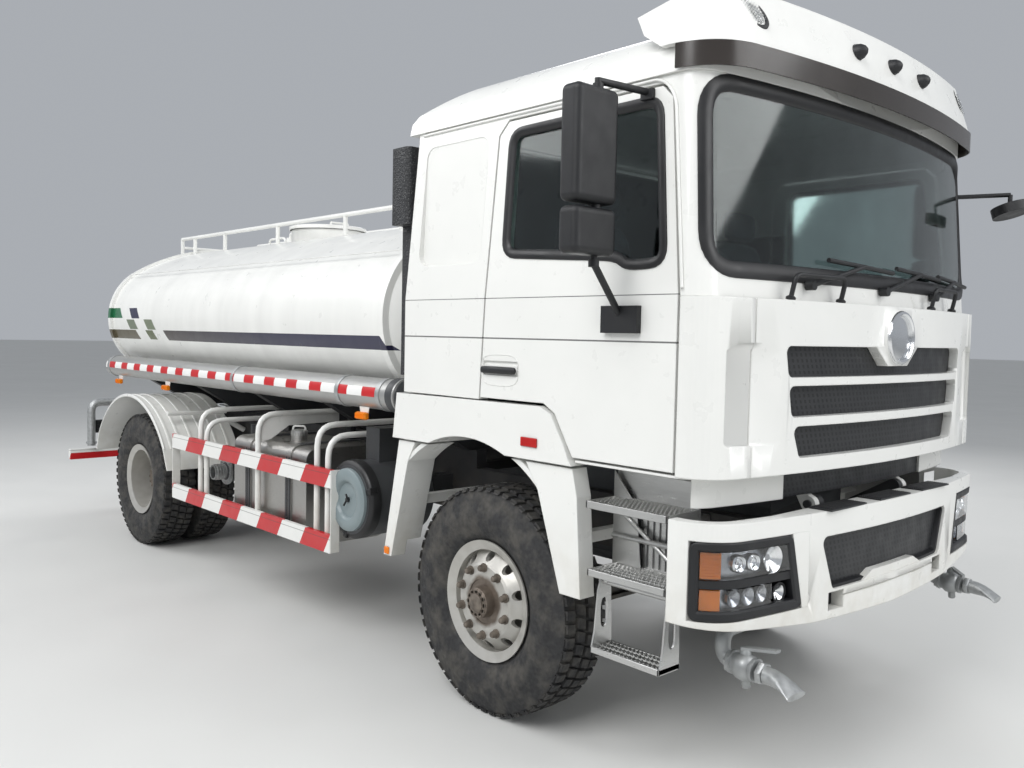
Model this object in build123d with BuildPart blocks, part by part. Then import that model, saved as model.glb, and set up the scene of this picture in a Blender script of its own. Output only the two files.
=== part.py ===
from build123d import *

import math
import os

# Forward-control water tanker, 4x2. Millimetres.
# X points forward, Y to the vehicle's left, Z up. The origin lies on the ground,
# under the middle of the overall length and width.

# Running gear
wheelbase = 4600
front_axle_x = 2350
rear_axle_x = front_axle_x - wheelbase
tyre_d = 1125
tyre_w = 315
tread_w = 256
bead_r = 262
flange_r = 296
sidewall_r = 415
rim_w = 216
axle_z = tyre_d / 2
front_tyre_y = 1032
twin_outer_y = 1003
twin_pitch = 350
kingpin_y = 900
spindle_r = 40
bearing_gap = 1
disc_t = 12
hand_hole_r = 24
hand_hole_pcr = 219

# Ladder frame
frame_top = 1040
rail_h = 280
rail_t = 10
rail_flange = 80
rail_y = 430
frame_front = 3560
frame_rear = -3900
frame_bottom = frame_top - rail_h
spring_y = 395
spring_w = 80

# Cab
cab_half_w = 1245
cab_floor_z = 1330
cab_rear_x = 1765
waist_z = 2038
header_z = 2890
tumblehome = 40
header_half_w = cab_half_w - tumblehome
screen_x = 3751
screen_top_x = 3687
header_rear_x = 1820
bow_r = 5800
corner_r = 120
wall_t = 62
panel_t = 45
roof_top_z = 3165
seam = 10

# Cab front
panel_x = 3812
panel_low_z = 1335
panel_high_z = 2030
fascia_low_z = 1205
fascia_x = 3690
pivot_x = 3650
pivot_z = 1160
pivot_y = 425
pin_r = 18
pivot_eye_r = 35
pin_gap = 0.5

# Doors
door_rear_x = 2380
door_front_x = 3526
door_low_z = 1350
door_mid_z = 1570
door_top_z = 2850
door_fender_gap = 14

# Bumper
bumper_x = 3845
bumper_low_z = 700
bumper_top_z = 1170
bumper_rear_x = 3512
bumper_t = 55

# Tank
tank_zc = 1950
tank_half_w = 1150
tank_half_h = 674
tank_side_r = 480
tank_front_x = 1450
tank_rear_x = -2900
tank_ring = 22
head_depth = 95

sides = {"right": -1, "left": 1}

os.makedirs("parts", exist_ok=True)


def span_box(x, y, z, mode=Mode.ADD):
    """Box between two corners, given as (low, high) along each axis."""
    with Locations(((x[0] + x[1]) / 2, (y[0] + y[1]) / 2, (z[0] + z[1]) / 2)):
        Box(x[1] - x[0], y[1] - y[0], z[1] - z[0], mode=mode)


def ordered(a, b):
    """The two values, lower first."""
    return (min(a, b), max(a, b))


def bar(start, end, radius, mode=Mode.ADD):
    """Round bar from one point to another."""
    run = Vector(*end) - Vector(*start)
    with Locations(Plane(origin=start, z_dir=run.normalized())):
        Cylinder(radius, run.length, align=(Align.CENTER, Align.CENTER, Align.MIN), mode=mode)


def tube_path(points, bend_r, radius):
    """Round tube along straight runs with one bend radius."""
    with BuildPart() as tube:
        with BuildLine() as path:
            FilletPolyline(*points, radius=bend_r)
        with BuildSketch(Plane(origin=path.line @ 0, z_dir=path.line % 0)):
            Circle(radius)
        sweep()
    return tube.part


def side_prism(outline, y_low, y_high, round_r=0, grow=0, mode=Mode.ADD):
    """Prism of an (x, z) outline between two values of y, its edges moved outward by grow."""
    with BuildSketch(Plane.XZ.offset(-y_high)) as profile:
        Polygon(*outline, align=None)
        if round_r:
            fillet(profile.vertices(), round_r)
        if grow:
            offset(amount=grow, kind=Kind.INTERSECTION)
    extrude(profile.sketch, amount=y_high - y_low, mode=mode)


def front_prism(outline, x_low, x_high, round_r=0, mode=Mode.ADD):
    """Prism of a (y, z) outline between two values of x."""
    with BuildSketch(Plane.YZ.offset(x_low)) as profile:
        Polygon(*outline, align=None)
        if round_r:
            fillet(profile.vertices(), round_r)
    extrude(profile.sketch, amount=x_high - x_low, mode=mode)


def both_sides(half):
    """A half outline, y from 0 outward and back, completed by its mirror image."""
    return list(half) + [(-y, z) for y, z in reversed(half) if y]


def wheel_plane(x):
    """Plane through a wheel's axis: local x is the vehicle's Y, local y the radius."""
    return Plane(origin=(x, 0, axle_z), x_dir=(0, 1, 0), z_dir=(1, 0, 0))


def wheel_axis(x):
    return Axis((x, 0, axle_z), (0, 1, 0))


def plan_face(half_w, x_rear, x_front, z, round_r=corner_r):
    """Bowed-front plan outline at one height."""
    x_side = x_front - half_w**2 / (2 * bow_r)
    with BuildSketch(Plane.XY.offset(z)) as plan:
        with BuildLine():
            Line((x_side, -half_w), (x_rear, -half_w))
            Line((x_rear, -half_w), (x_rear, half_w))
            Line((x_rear, half_w), (x_side, half_w))
            ThreePointArc((x_side, half_w), (x_front, 0), (x_side, -half_w))
        make_face()
        fillet(plan.vertices().group_by(Axis.X)[-1], round_r)
    return plan.sketch


def cab_hull(inset, z_low, z_high):
    """Outer form of the cab below its roof, drawn in by an inset, open range of height."""
    share = (z_high - waist_z) / (header_z - waist_z)
    half_w = cab_half_w + (header_half_w - cab_half_w) * share
    x_front = screen_x + (screen_top_x - screen_x) * share
    x_rear = cab_rear_x + (header_rear_x - cab_rear_x) * share
    round_r = corner_r - inset
    with BuildPart() as hull:
        add(plan_face(cab_half_w - inset, cab_rear_x + inset, screen_x - inset, z_low, round_r))
        extrude(amount=waist_z - z_low)
        low = plan_face(cab_half_w - inset, cab_rear_x + inset, screen_x - inset, waist_z, round_r)
        high = plan_face(half_w - inset, x_rear + inset, x_front - inset, z_high, round_r)
        loft([low.face(), high.face()], ruled=True)
    return hull.part


def bow_band(half_w, x_front, z_low, z_high, thick, x_rear, round_r):
    """Upright panel bowed across the front and turned round both corners."""
    with BuildPart() as band:
        extrude(plan_face(half_w, x_rear - 400, x_front, z_low, round_r), amount=z_high - z_low)
        extrude(plan_face(half_w - thick, x_rear - 500, x_front - thick, z_low - 1, round_r - thick),
                amount=z_high - z_low + 2, mode=Mode.SUBTRACT)
        span_box((x_rear, x_front + 10), (-half_w - 10, half_w + 10), (z_low - 1, z_high + 1),
                 mode=Mode.INTERSECT)
    return band.part


def side_band(side):
    """Range of y that takes in one side wall of the cab."""
    return ordered(side * (header_half_w - wall_t - 40), side * (cab_half_w + 60))


# Tyres: front singles, rear twins

def tyre_ring(x, centres):
    """Tyres about one axle, each centred at a value of y."""
    half = tyre_w / 2
    with BuildPart() as tyres:
        for y in centres:
            half_section = ((rim_w / 2 - 4, bead_r), (half, sidewall_r), (tread_w / 2, tyre_d / 2))
            with BuildSketch(wheel_plane(x)):
                Polygon(*[(y - a, r) for a, r in half_section],
                        *[(y + a, r) for a, r in reversed(half_section)], align=None)
            revolve(axis=wheel_axis(x))
    return tyres.part


def rim_section(y, disc_root, disc_face):
    """Half section of a rim about an axle: barrel, and a disc from the barrel to the nut face.

    y is the rim's middle. The disc's root on the barrel and its nut face are measured from there.
    """
    half = rim_w / 2
    barrel_r = 250
    lip = 14
    lean = 1 if disc_face > disc_root else -1
    Polygon(*[(y + a, r) for a, r in (
        (-half - lip - 8, flange_r + 2), (-half - lip, flange_r + 2), (-half + 4, bead_r),
        (half - 4, bead_r), (half + lip, flange_r + 2), (half + lip + 8, flange_r + 2),
        (half + 2, barrel_r), (-half - 2, barrel_r))],
        align=None)
    Polygon(*[(y + a, r) for a, r in (
        (disc_root, bead_r - 6), (disc_root + lean * 16, bead_r - 6), (disc_face - lean * 8, 188),
        (disc_face, 176), (disc_face, 110), (disc_face - lean * disc_t, 110),
        (disc_face - lean * disc_t, 172), (disc_face - lean * 24, 180))],
        align=None)


# Front rims with hub and drum. Columns: distance outward from the rim's middle, radius
front_disc = 140
front_hub = ((-60, 112), (front_disc - 4, 112), (front_disc - 4, 78), (front_disc + 42, 74),
             (front_disc + 50, 62), (front_disc + 50, 0), (front_disc + 5, 0),
             (front_disc + 5, spindle_r + bearing_gap), (-60, spindle_r + bearing_gap))
front_drum = ((-95, 190), (-95, 205), (50, 205), (50, 108), (36, 108), (36, 190))
with BuildPart() as front_rim:
    with BuildSketch(wheel_plane(front_axle_x)):
        rim_section(front_tyre_y, 46, front_disc)
        for section in (front_hub, front_drum):
            Polygon(*[(front_tyre_y + a, r) for a, r in section], align=None)
    revolve(axis=wheel_axis(front_axle_x))
    with Locations(Plane(origin=(front_axle_x, front_tyre_y + 90, axle_z), z_dir=(0, 1, 0))):
        with PolarLocations(hand_hole_pcr, 10):
            Cylinder(hand_hole_r, 110, mode=Mode.SUBTRACT)

# Rear rims: two rims with their discs back to back, hub and drum
twin_mid_y = twin_outer_y - twin_pitch / 2
axle_end_r = 60
rear_hub = ((-150, 130), (20, 130), (20, 112), (175, 100), (182, 86), (182, 0), (135, 0),
            (135, axle_end_r + bearing_gap), (-150, axle_end_r + bearing_gap))
rear_drum = ((-270, 190), (-270, 205), (-60, 205), (-60, 128), (-76, 128), (-76, 190))
with BuildPart() as rear_rims:
    with BuildSketch(wheel_plane(rear_axle_x)):
        rim_section(twin_outer_y, -60, -twin_pitch / 2)
        rim_section(twin_outer_y - twin_pitch, 60, twin_pitch / 2)
        for section in (rear_hub, rear_drum):
            Polygon(*[(twin_mid_y + a, r) for a, r in section], align=None)
    revolve(axis=wheel_axis(rear_axle_x))
    with Locations(Plane(origin=(rear_axle_x, twin_mid_y + 55, axle_z), z_dir=(0, 1, 0))):
        with PolarLocations(hand_hole_pcr, 10):
            Cylinder(hand_hole_r, 100, mode=Mode.SUBTRACT)

for name, side in sides.items():
    for wheel, part in (("front_tyre", tyre_ring(front_axle_x, [front_tyre_y])),
                        ("rear_tyres", tyre_ring(rear_axle_x, [twin_outer_y, twin_outer_y - twin_pitch])),
                        ("front_rim", front_rim.part), ("rear_rims", rear_rims.part)):
        piece = part if side > 0 else mirror(part, about=Plane.XZ)
        piece.label = f"{wheel}_{name}"
        export_step(piece, f"parts/{wheel}_{name}.step")

# Steering knuckles and tie rod
arm_x = -150
arm_z = axle_z - 112
for name, side in sides.items():
    with BuildPart() as knuckle:
        for z0, z1 in ((50, 84), (-84, -50)):
            span_box((front_axle_x - 42, front_axle_x + 42),
                     ordered(side * (kingpin_y - 42), side * (kingpin_y + 68)),
                     (axle_z + z0, axle_z + z1))
        span_box((front_axle_x - 42, front_axle_x + 42),
                 ordered(side * (kingpin_y + 46), side * (kingpin_y + 68)),
                 (axle_z - 84, axle_z + 84))
        bar((front_axle_x, side * kingpin_y, axle_z - 84), (front_axle_x, side * kingpin_y, axle_z + 84), 25)
        bar((front_axle_x, side * (kingpin_y + 60), axle_z),
            (front_axle_x, side * (front_tyre_y + front_disc), axle_z), spindle_r)
        side_prism([(front_axle_x + 20, arm_z), (front_axle_x + 20, axle_z - 84),
                    (front_axle_x + arm_x - 30, axle_z - 84), (front_axle_x + arm_x - 30, arm_z)],
                   *ordered(side * (kingpin_y - 25), side * (kingpin_y + 25)))
        bar((front_axle_x + arm_x, side * kingpin_y, arm_z - 50),
            (front_axle_x + arm_x, side * kingpin_y, arm_z + 5), 12)
    piece = knuckle.part
    piece.label = f"knuckle_{name}"
    export_step(piece, f"parts/knuckle_{name}.step")

tie_z = arm_z - 30
with BuildPart() as tie_rod:
    bar((front_axle_x + arm_x, -kingpin_y, tie_z), (front_axle_x + arm_x, kingpin_y, tie_z), 17)
    for side in sides.values():
        end = (front_axle_x + arm_x, side * kingpin_y)
        bar((*end, tie_z - 20), (*end, tie_z + 20), 30)
        bar((*end, tie_z - 60), (*end, tie_z + 60), 12 + pin_gap, mode=Mode.SUBTRACT)
tie_rod.part.label = "tie_rod"
export_step(tie_rod.part, "parts/tie_rod.step")

# Front axle beam: a dropped I-beam with kingpin eyes and spring pads
beam_low_z = 415
beam_high_z = 505
pad_top_z = 545
with BuildPart() as front_axle:
    beam = ((0, beam_low_z), (540, beam_low_z), (760, axle_z - 44), (kingpin_y, axle_z - 44),
            (kingpin_y, axle_z + 44), (720, axle_z + 44), (510, beam_high_z), (0, beam_high_z))
    front_prism(both_sides(beam), front_axle_x - 45, front_axle_x + 45)
    for side in sides.values():
        bar((front_axle_x, side * kingpin_y, axle_z - 44), (front_axle_x, side * kingpin_y, axle_z + 44), 45)
        span_box((front_axle_x - 80, front_axle_x + 80), ordered(side * 350, side * 440), (480, pad_top_z))
        for face in (-1, 1):
            front_prism([(side * y, z) for y, z in ((30, 437), (530, 437), (700, 540), (660, 562), (500, 484),
                                                    (30, 484))],
                        *ordered(front_axle_x + face * 14, front_axle_x + face * 60), mode=Mode.SUBTRACT)
        bar((front_axle_x, side * kingpin_y, axle_z - 90), (front_axle_x, side * kingpin_y, axle_z + 90),
            25 + pin_gap, mode=Mode.SUBTRACT)
front_axle.part.label = "front_axle"
export_step(front_axle.part, "parts/front_axle.step")

# Rear axle: banjo housing with tubes, spring pads and pinion nose
rear_pad_top_z = 650
with BuildPart() as rear_axle:
    span_box((rear_axle_x - 68, rear_axle_x + 68), (-600, 600), (axle_z - 72, axle_z + 72))
    fillet(rear_axle.edges().filter_by(Axis.Y), 30)
    bar((rear_axle_x, -945, axle_z), (rear_axle_x, 945, axle_z), axle_end_r)
    bar((rear_axle_x - 150, 0, axle_z), (rear_axle_x + 140, 0, axle_z), 215)
    chamfer(rear_axle.edges().filter_by(GeomType.CIRCLE).sort_by(Axis.X)[0], 60)
    bar((rear_axle_x + 130, 0, axle_z), (rear_axle_x + 380, 0, axle_z), 95)
    for side in sides.values():
        span_box((rear_axle_x - 90, rear_axle_x + 90), ordered(side * 350, side * 440),
                 (axle_z + 60, rear_pad_top_z))
rear_axle.part.label = "rear_axle"
export_step(rear_axle.part, "parts/rear_axle.step")

# Leaf springs. Columns: axle x, half length, height of the eyes, seat height, thickness at the middle
spring_table = (
    (front_axle_x, 750, 690, pad_top_z, 80),
    (rear_axle_x, 800, 712, rear_pad_top_z, 90),
)
eye_r = 28
with BuildPart() as leaf_springs:
    for x, half, eye_z, seat_z, thick in spring_table:
        for side in sides.values():
            y_low, y_high = ordered(side * (spring_y - spring_w / 2), side * (spring_y + spring_w / 2))
            with BuildSketch(Plane.XZ.offset(-y_high)) as leaf:
                with BuildLine():
                    ThreePointArc((x - half, eye_z - 20), (x, seat_z), (x + half, eye_z - 20))
                    Line((x + half, eye_z - 20), (x + half, eye_z + 10))
                    ThreePointArc((x + half, eye_z + 10), (x, seat_z + thick), (x - half, eye_z + 10))
                    Line((x - half, eye_z + 10), (x - half, eye_z - 20))
                make_face()
            extrude(leaf.sketch, amount=spring_w)
            for end in (-1, 1):
                bar((x + end * half, y_low, eye_z), (x + end * half, y_high, eye_z), eye_r)
leaf_springs.part.label = "leaf_springs"
export_step(leaf_springs.part, "parts/leaf_springs.step")

# Ladder frame: two C rails with their spring hangers and bumper brackets
cross_x = (3480, 900, 60, -700, -1500, -2900, -3780)
with BuildPart() as frame_rails:
    for side in sides.values():
        section = [(rail_y, frame_bottom), (rail_y, frame_top), (rail_y - rail_flange, frame_top),
                   (rail_y - rail_flange, frame_top - rail_t), (rail_y - rail_t, frame_top - rail_t),
                   (rail_y - rail_t, frame_bottom + rail_t), (rail_y - rail_flange, frame_bottom + rail_t),
                   (rail_y - rail_flange, frame_bottom)]
        front_prism([(side * y, z) for y, z in section], frame_rear, frame_front)
        for x, half, eye_z, seat_z, thick in spring_table:
            for end in (-1, 1):
                span_box((x + end * half - 45, x + end * half + 45),
                         ordered(side * (spring_y - 35), side * (spring_y + 35)),
                         (eye_z + eye_r, frame_bottom))
        span_box((cross_x[0] + 52, bumper_x - bumper_t - 42), ordered(side * 396, side * 420), (790, 1000))

# Cross members between the rails, the towing jaws with their upright bores at the rails' front, and the
# beam over the rails that latches the cab's rear
tow_x = 3700
tow_y = 495
tow_bore_r = 20
jaw_half = 36
jaw_ears = ((745, 765), (805, 825))
latch_x = 1900
with BuildPart() as cross_members:
    for x in cross_x:
        span_box((x - 50, x + 50), (-rail_y + rail_t, rail_y - rail_t), (frame_bottom + 110, frame_top - 50))
        span_box((x - 60, x + 38), (-rail_y + 40, rail_y - 40), (frame_bottom + 120, frame_top - 60),
                 mode=Mode.SUBTRACT)
    for side in sides.values():
        jaw_y = ordered(side * (tow_y - jaw_half), side * (tow_y + jaw_half))
        for ear in jaw_ears:
            span_box((frame_front - 60, tow_x + jaw_half), jaw_y, ear)
        span_box((frame_front - 60, frame_front), ordered(side * rail_y, side * (tow_y + jaw_half)),
                 (jaw_ears[0][0], jaw_ears[1][1]))
        bar((tow_x, side * tow_y, jaw_ears[0][0] - 5), (tow_x, side * tow_y, jaw_ears[1][1] + 5), tow_bore_r,
            mode=Mode.SUBTRACT)
        span_box((latch_x - 50, latch_x + 50), ordered(side * (rail_y - rail_flange), side * rail_y),
                 (frame_top, 1215))
    span_box((latch_x - 40, latch_x + 40), (-520, 520), (1210, 1290))
cross_members.part.label = "cross_members"
export_step(cross_members.part, "parts/cross_members.step")

# Engine with gearbox as one block, propeller shaft to the rear axle
engine_x = (2080, 3400)
with BuildPart() as engine_block:
    span_box(engine_x, (-330, 330), (640, 1290))
    chamfer(engine_block.edges().filter_by(Axis.X), 60)
    span_box((1350, engine_x[0]), (-210, 210), (680, 1010))
engine_block.part.label = "engine_block"
export_step(engine_block.part, "parts/engine_block.step")

shaft_r = 55
with BuildPart() as drive_shaft:
    start = Vector(1340, 0, 840)
    stop = Vector(rear_axle_x + 390, 0, axle_z)
    bar(start, stop, shaft_r)
    for share in (0.015, 0.985):
        spot = start + (stop - start) * share
        bar(spot - (stop - start) * 0.012, spot + (stop - start) * 0.012, 85)
drive_shaft.part.label = "drive_shaft"
export_step(drive_shaft.part, "parts/drive_shaft.step")

# Cab pivot brackets at the front of the frame
bracket_y = (pivot_y - 58, pivot_y - 24)
with BuildPart() as chassis_frame:
    add(frame_rails.part)
    for side in sides.values():
        y_low, y_high = ordered(side * bracket_y[0], side * bracket_y[1])
        side_prism(((3380, frame_top), (frame_front, frame_top), (pivot_x + 24, pivot_z - 25),
                    (pivot_x - 22, pivot_z + 27)), y_low, y_high)
        bar((pivot_x, y_low, pivot_z), (pivot_x, y_high, pivot_z), pivot_eye_r)
        bar((pivot_x, side * bracket_y[0], pivot_z), (pivot_x, side * (pivot_y + 30), pivot_z), pin_r)
chassis_frame.part.label = "chassis_frame"
export_step(chassis_frame.part, "parts/chassis_frame.step")

# Front wheel arch: the cut over the wheel and the skin round it
arch_points = ((1800, 1195), (2240, 1369), (2780, 1180))
fender_y = (1140, 1256)
fender_in_y = 850
leg_gap_z = 1306
with BuildPart() as arch_cut:
    with BuildSketch(Plane.XZ.offset(-1400)):
        with BuildLine():
            ThreePointArc(*arch_points)
            Line(arch_points[2], (2931, 745))
            Polyline((2931, 745), (2931, 300), (1660, 300), (1660, 662), arch_points[0])
        make_face()
    extrude(amount=2800)
with BuildPart() as arch_liner:
    with BuildSketch(Plane.XZ.offset(-1400)):
        with BuildLine():
            ThreePointArc((1770, 1195), (2240, 1399), (2812, 1180))
            Line((2812, 1180), (2966, 745))
            Polyline((2966, 745), (2966, 280), (1630, 280), (1630, 662), (1770, 1195))
        make_face()
    extrude(amount=2800)
with BuildPart() as arch_skin:
    add(arch_liner.part)
    add(arch_cut.part, mode=Mode.SUBTRACT)

# Cab shell: floor, rear wall, sleeper sides, pillars, header and front bulkhead
# Door seam seen from the side, rear lower corner first, as (x, z)
door_seam = ((door_rear_x, door_mid_z), (2810, door_mid_z), (2880, 1530), (2960, 1400), (2992, door_low_z),
             (door_front_x, door_low_z), (door_front_x, waist_z), (door_front_x - 78, door_top_z - 50),
             (door_front_x - 130, door_top_z), (door_rear_x + 130, door_top_z),
             (door_rear_x + 70, door_top_z - 60))
# Windows and the sleeper panel, as (x, z)
door_window = ((2519, 2236), (3205, 2192), (3260, 2150), (3454, 2157), (3391, 2806), (2530, 2801))
sleeper_panel = ((1862, 2210), (2350, 2210), (2373, 2808), (1895, 2808))
screen_low_z = 2128
screen_high_z = 2868
screen_half_w = 1196
screen_outline = ((-screen_half_w, screen_low_z), (screen_half_w, screen_low_z),
                  (screen_half_w - 25, screen_high_z), (-screen_half_w + 25, screen_high_z))
lug_w = 36
panel_corner_r = 180
panel_rear_x = 3538
panel_band = bow_band(cab_half_w, panel_x, panel_low_z, panel_high_z, panel_t, panel_rear_x, panel_corner_r)
cab_outer = cab_hull(0, cab_floor_z, header_z)
cab_inner = cab_hull(wall_t, cab_floor_z + wall_t, header_z)
floor_arch = {}
for side in sides.values():
    with BuildPart() as floor_arch[side]:
        add(arch_liner.part)
        span_box((1500, 3100), ordered(side * fender_in_y, side * 1300), (200, 1500), mode=Mode.INTERSECT)
with BuildPart() as cab_shell:
    add(cab_outer)
    add(cab_inner, mode=Mode.SUBTRACT)
    add(panel_band, mode=Mode.SUBTRACT)
    front_prism(screen_outline, 3380, 3900, 130, mode=Mode.SUBTRACT)
    for side in sides.values():
        side_prism(door_seam, *side_band(side), grow=seam, mode=Mode.SUBTRACT)
        span_box((door_seam[3][0], door_front_x + seam + 5),
                 ordered(side * (header_half_w - wall_t - 60), side * (cab_half_w - wall_t - seam)),
                 (cab_floor_z, cab_floor_z + wall_t))
        # shallow field pressed into the sleeper side
        side_prism(sleeper_panel, *ordered(side * (header_half_w + 2), side * 1300), 60, mode=Mode.SUBTRACT)
        # the floor is arched over the front wheel and narrower beside it
        add(floor_arch[side].part, mode=Mode.SUBTRACT)
        span_box((1700, 3010), ordered(side * 1120, side * 1300), (cab_floor_z - 10, door_mid_z - seam),
                 mode=Mode.SUBTRACT)
        y_low, y_high = ordered(side * (pivot_y - lug_w / 2), side * (pivot_y + lug_w / 2))
        side_prism(((pivot_x - 140, cab_floor_z + 5), (pivot_x - 32, pivot_z - 14), (pivot_x + 28, pivot_z + 20),
                    (pivot_x - 10, fascia_low_z), (pivot_x - 14, cab_floor_z + 5)), y_low, y_high)
        bar((pivot_x, y_low, pivot_z), (pivot_x, y_high, pivot_z), pivot_eye_r)
        bar((pivot_x, y_low - 10, pivot_z), (pivot_x, y_high + 10, pivot_z), pin_r + pin_gap,
            mode=Mode.SUBTRACT)
cab_shell.part.label = "cab_shell"
export_step(cab_shell.part, "parts/cab_shell.step")

# Cab roof: arched across, sloping at the back, closed over the header
# Half section across, (y, z), then the side outline, (x, z)
roof_inset = 45


def roof_form(inset):
    """Outer form of the roof drawn in by an inset, standing on the header."""
    edge_y = header_half_w + 14 - inset
    rear_x = 1752 + inset
    with BuildPart() as form:
        with BuildSketch(Plane.YZ.offset(rear_x)) as across:
            with BuildLine():
                Line((-edge_y, header_z), (edge_y, header_z))
                Line((edge_y, header_z), (edge_y - 22, 2990))
                ThreePointArc((edge_y - 22, 2990), (1092 - inset, 3085 - inset / 2), (930 - inset, 3132 - inset))
                ThreePointArc((930 - inset, 3132 - inset), (0, roof_top_z - inset),
                              (-930 + inset, 3132 - inset))
                ThreePointArc((-930 + inset, 3132 - inset), (-1092 + inset, 3085 - inset / 2),
                              (-edge_y + 22, 2990))
                Line((-edge_y + 22, 2990), (-edge_y, header_z))
            make_face()
        extrude(across.sketch, amount=2100)
        with BuildSketch(Plane.XZ.offset(-1400)) as along:
            Polygon((rear_x, header_z - 1), (screen_top_x - inset, header_z - 1), (3640 - inset, 3010 - inset),
                    (3480 - inset, 3180), (2420, 3180), (2160 + inset, 3118 - inset),
                    (1800 + inset, 2985 - inset), (rear_x, 2950 - inset), align=None)
        extrude(along.sketch, amount=2800, mode=Mode.INTERSECT)
        extrude(plan_face(edge_y, rear_x, screen_top_x + 8 - inset, header_z - 1), amount=400,
                mode=Mode.INTERSECT)
    return form.part


roof_outer = roof_form(0)
with BuildPart() as cab_roof:
    add(roof_outer)
    add(roof_form(roof_inset), mode=Mode.SUBTRACT)
cab_roof.part.label = "cab_roof"
export_step(cab_roof.part, "parts/cab_roof.step")

# Windscreen, set in the shell's opening
glass_t = 8
with BuildPart() as windscreen:
    add(cab_hull(6, cab_floor_z, header_z))
    add(cab_hull(6 + glass_t, cab_floor_z - 5, header_z + 5), mode=Mode.SUBTRACT)
    front_prism(screen_outline, 3380, 3900, 130, mode=Mode.INTERSECT)
windscreen.part.label = "windscreen"
export_step(windscreen.part, "parts/windscreen.step")

# Doors, door windows and mirrors
# Mirror housings: height of the middle, height of the housing
mirror_table = ((2590, 435), (2268, 180))
mirror_x = 3285
mirror_y = cab_half_w + 255
mirror_w = 235
mirror_t = 100
mirror_arm_r = 14
for name, side in sides.items():
    with BuildPart() as door:
        add(cab_outer)
        add(cab_hull(wall_t, cab_floor_z - seam, header_z), mode=Mode.SUBTRACT)
        side_prism(door_seam, *side_band(side), mode=Mode.INTERSECT)
        side_prism(door_window, *side_band(side), 70, mode=Mode.SUBTRACT)
        span_box((2400, 2640), ordered(side * 1236, side * 1300), (1680, 1745), mode=Mode.SUBTRACT)
        span_box((2404, 2636), ordered(side * 1230, side * 1247), (1698, 1727))
    piece = door.part
    piece.label = f"door_{name}"
    export_step(piece, f"parts/door_{name}.step")

    with BuildPart() as glass:
        add(cab_hull(16, waist_z - 200, header_z))
        add(cab_hull(16 + glass_t, waist_z - 210, header_z + 5), mode=Mode.SUBTRACT)
        side_prism(door_window, *side_band(side), 70, mode=Mode.INTERSECT)
    piece = glass.part
    piece.label = f"door_glass_{name}"
    export_step(piece, f"parts/door_glass_{name}.step")

    with BuildPart() as mirror_set:
        for z, height in mirror_table:
            span_box((mirror_x - mirror_t / 2, mirror_x + mirror_t / 2),
                     ordered(side * (mirror_y - mirror_w / 2), side * (mirror_y + mirror_w / 2)),
                     (z - height / 2, z + height / 2))
        fillet(mirror_set.edges(), 28)
        post_y = side * (mirror_y - 40)
        bar((mirror_x, post_y, 2140), (mirror_x, post_y, 2850), mirror_arm_r)
        bar((mirror_x, post_y, 2840), (mirror_x + 45, side * (header_half_w + 10), 2835), mirror_arm_r)
        bar((mirror_x, post_y, 2150), (mirror_x - 35, side * (cab_half_w + 17), 1960), mirror_arm_r)
        span_box((mirror_x + 15, mirror_x + 75), ordered(side * (header_half_w + 6), side * (header_half_w + 23)),
                 (2806, 2846))
        span_box((mirror_x - 125, mirror_x + 65), ordered(side * (cab_half_w + 1), side * (cab_half_w + 29)),
                 (1885, 1995))
    piece = mirror_set.part
    piece.label = f"mirrors_{name}"
    export_step(piece, f"parts/mirrors_{name}.step")

# Front panel with three grille openings, and the corner panels beside it
corner_seam_y = 1010
# Grille openings: height of the top and bottom, half width at the top and bottom
slot_table = ((1848, 1722, 837, 815), (1688, 1562, 811, 790), (1525, 1396, 781, 735))
badge_z = 1891
badge_r = 125
with BuildPart() as shield:
    front_prism(((-95, 1765), (95, 1765), (200, slot_table[0][0] + 4), (-200, slot_table[0][0] + 4)),
                panel_x - panel_t, panel_x + 6)
with BuildPart() as front_panel:
    add(panel_band)
    span_box((3500, 3900), (-corner_seam_y, corner_seam_y), (panel_low_z, panel_high_z), mode=Mode.INTERSECT)
    for z_top, z_bottom, half_top, half_bottom in slot_table:
        front_prism(((-half_bottom, z_bottom), (half_bottom, z_bottom), (half_top, z_top), (-half_top, z_top)),
                    3700, 3900, 28, mode=Mode.SUBTRACT)
    # the badge's shield hangs into the top opening
    add(shield.part)
    bar((panel_x - 10, 0, badge_z), (panel_x + 12, 0, badge_z), badge_r)
front_panel.part.label = "front_panel"
export_step(front_panel.part, "parts/front_panel.step")

with BuildPart() as corner_panels:
    add(panel_band)
    span_box((3500, 3900), (-corner_seam_y - 6, corner_seam_y + 6), (panel_low_z - 5, panel_high_z + 5),
             mode=Mode.SUBTRACT)

# Dark grille behind the openings, and the mesh under the panel
fascia_half_w = 1190
fascia_open_y = 655
grille_back = bow_band(cab_half_w - panel_t, panel_x - panel_t, 1375, 1870, 14, panel_rear_x,
                       panel_corner_r - panel_t)
lower_mesh = bow_band(fascia_half_w - 8, fascia_x - 12, fascia_low_z + 4, cab_floor_z, 14, 3560, 150)
with BuildPart() as slot_mesh:
    add(grille_back)
    span_box((3500, 3900), (-900, 900), (1370, 1880), mode=Mode.INTERSECT)
with BuildPart() as mesh_strip:
    add(lower_mesh)
    span_box((3500, 3900), (-fascia_open_y, fascia_open_y), (fascia_low_z, 1400), mode=Mode.INTERSECT)
with BuildPart() as front_grille:
    add(slot_mesh.part)
    add(mesh_strip.part)
front_grille.part.label = "front_grille"
export_step(front_grille.part, "parts/front_grille.step")

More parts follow.
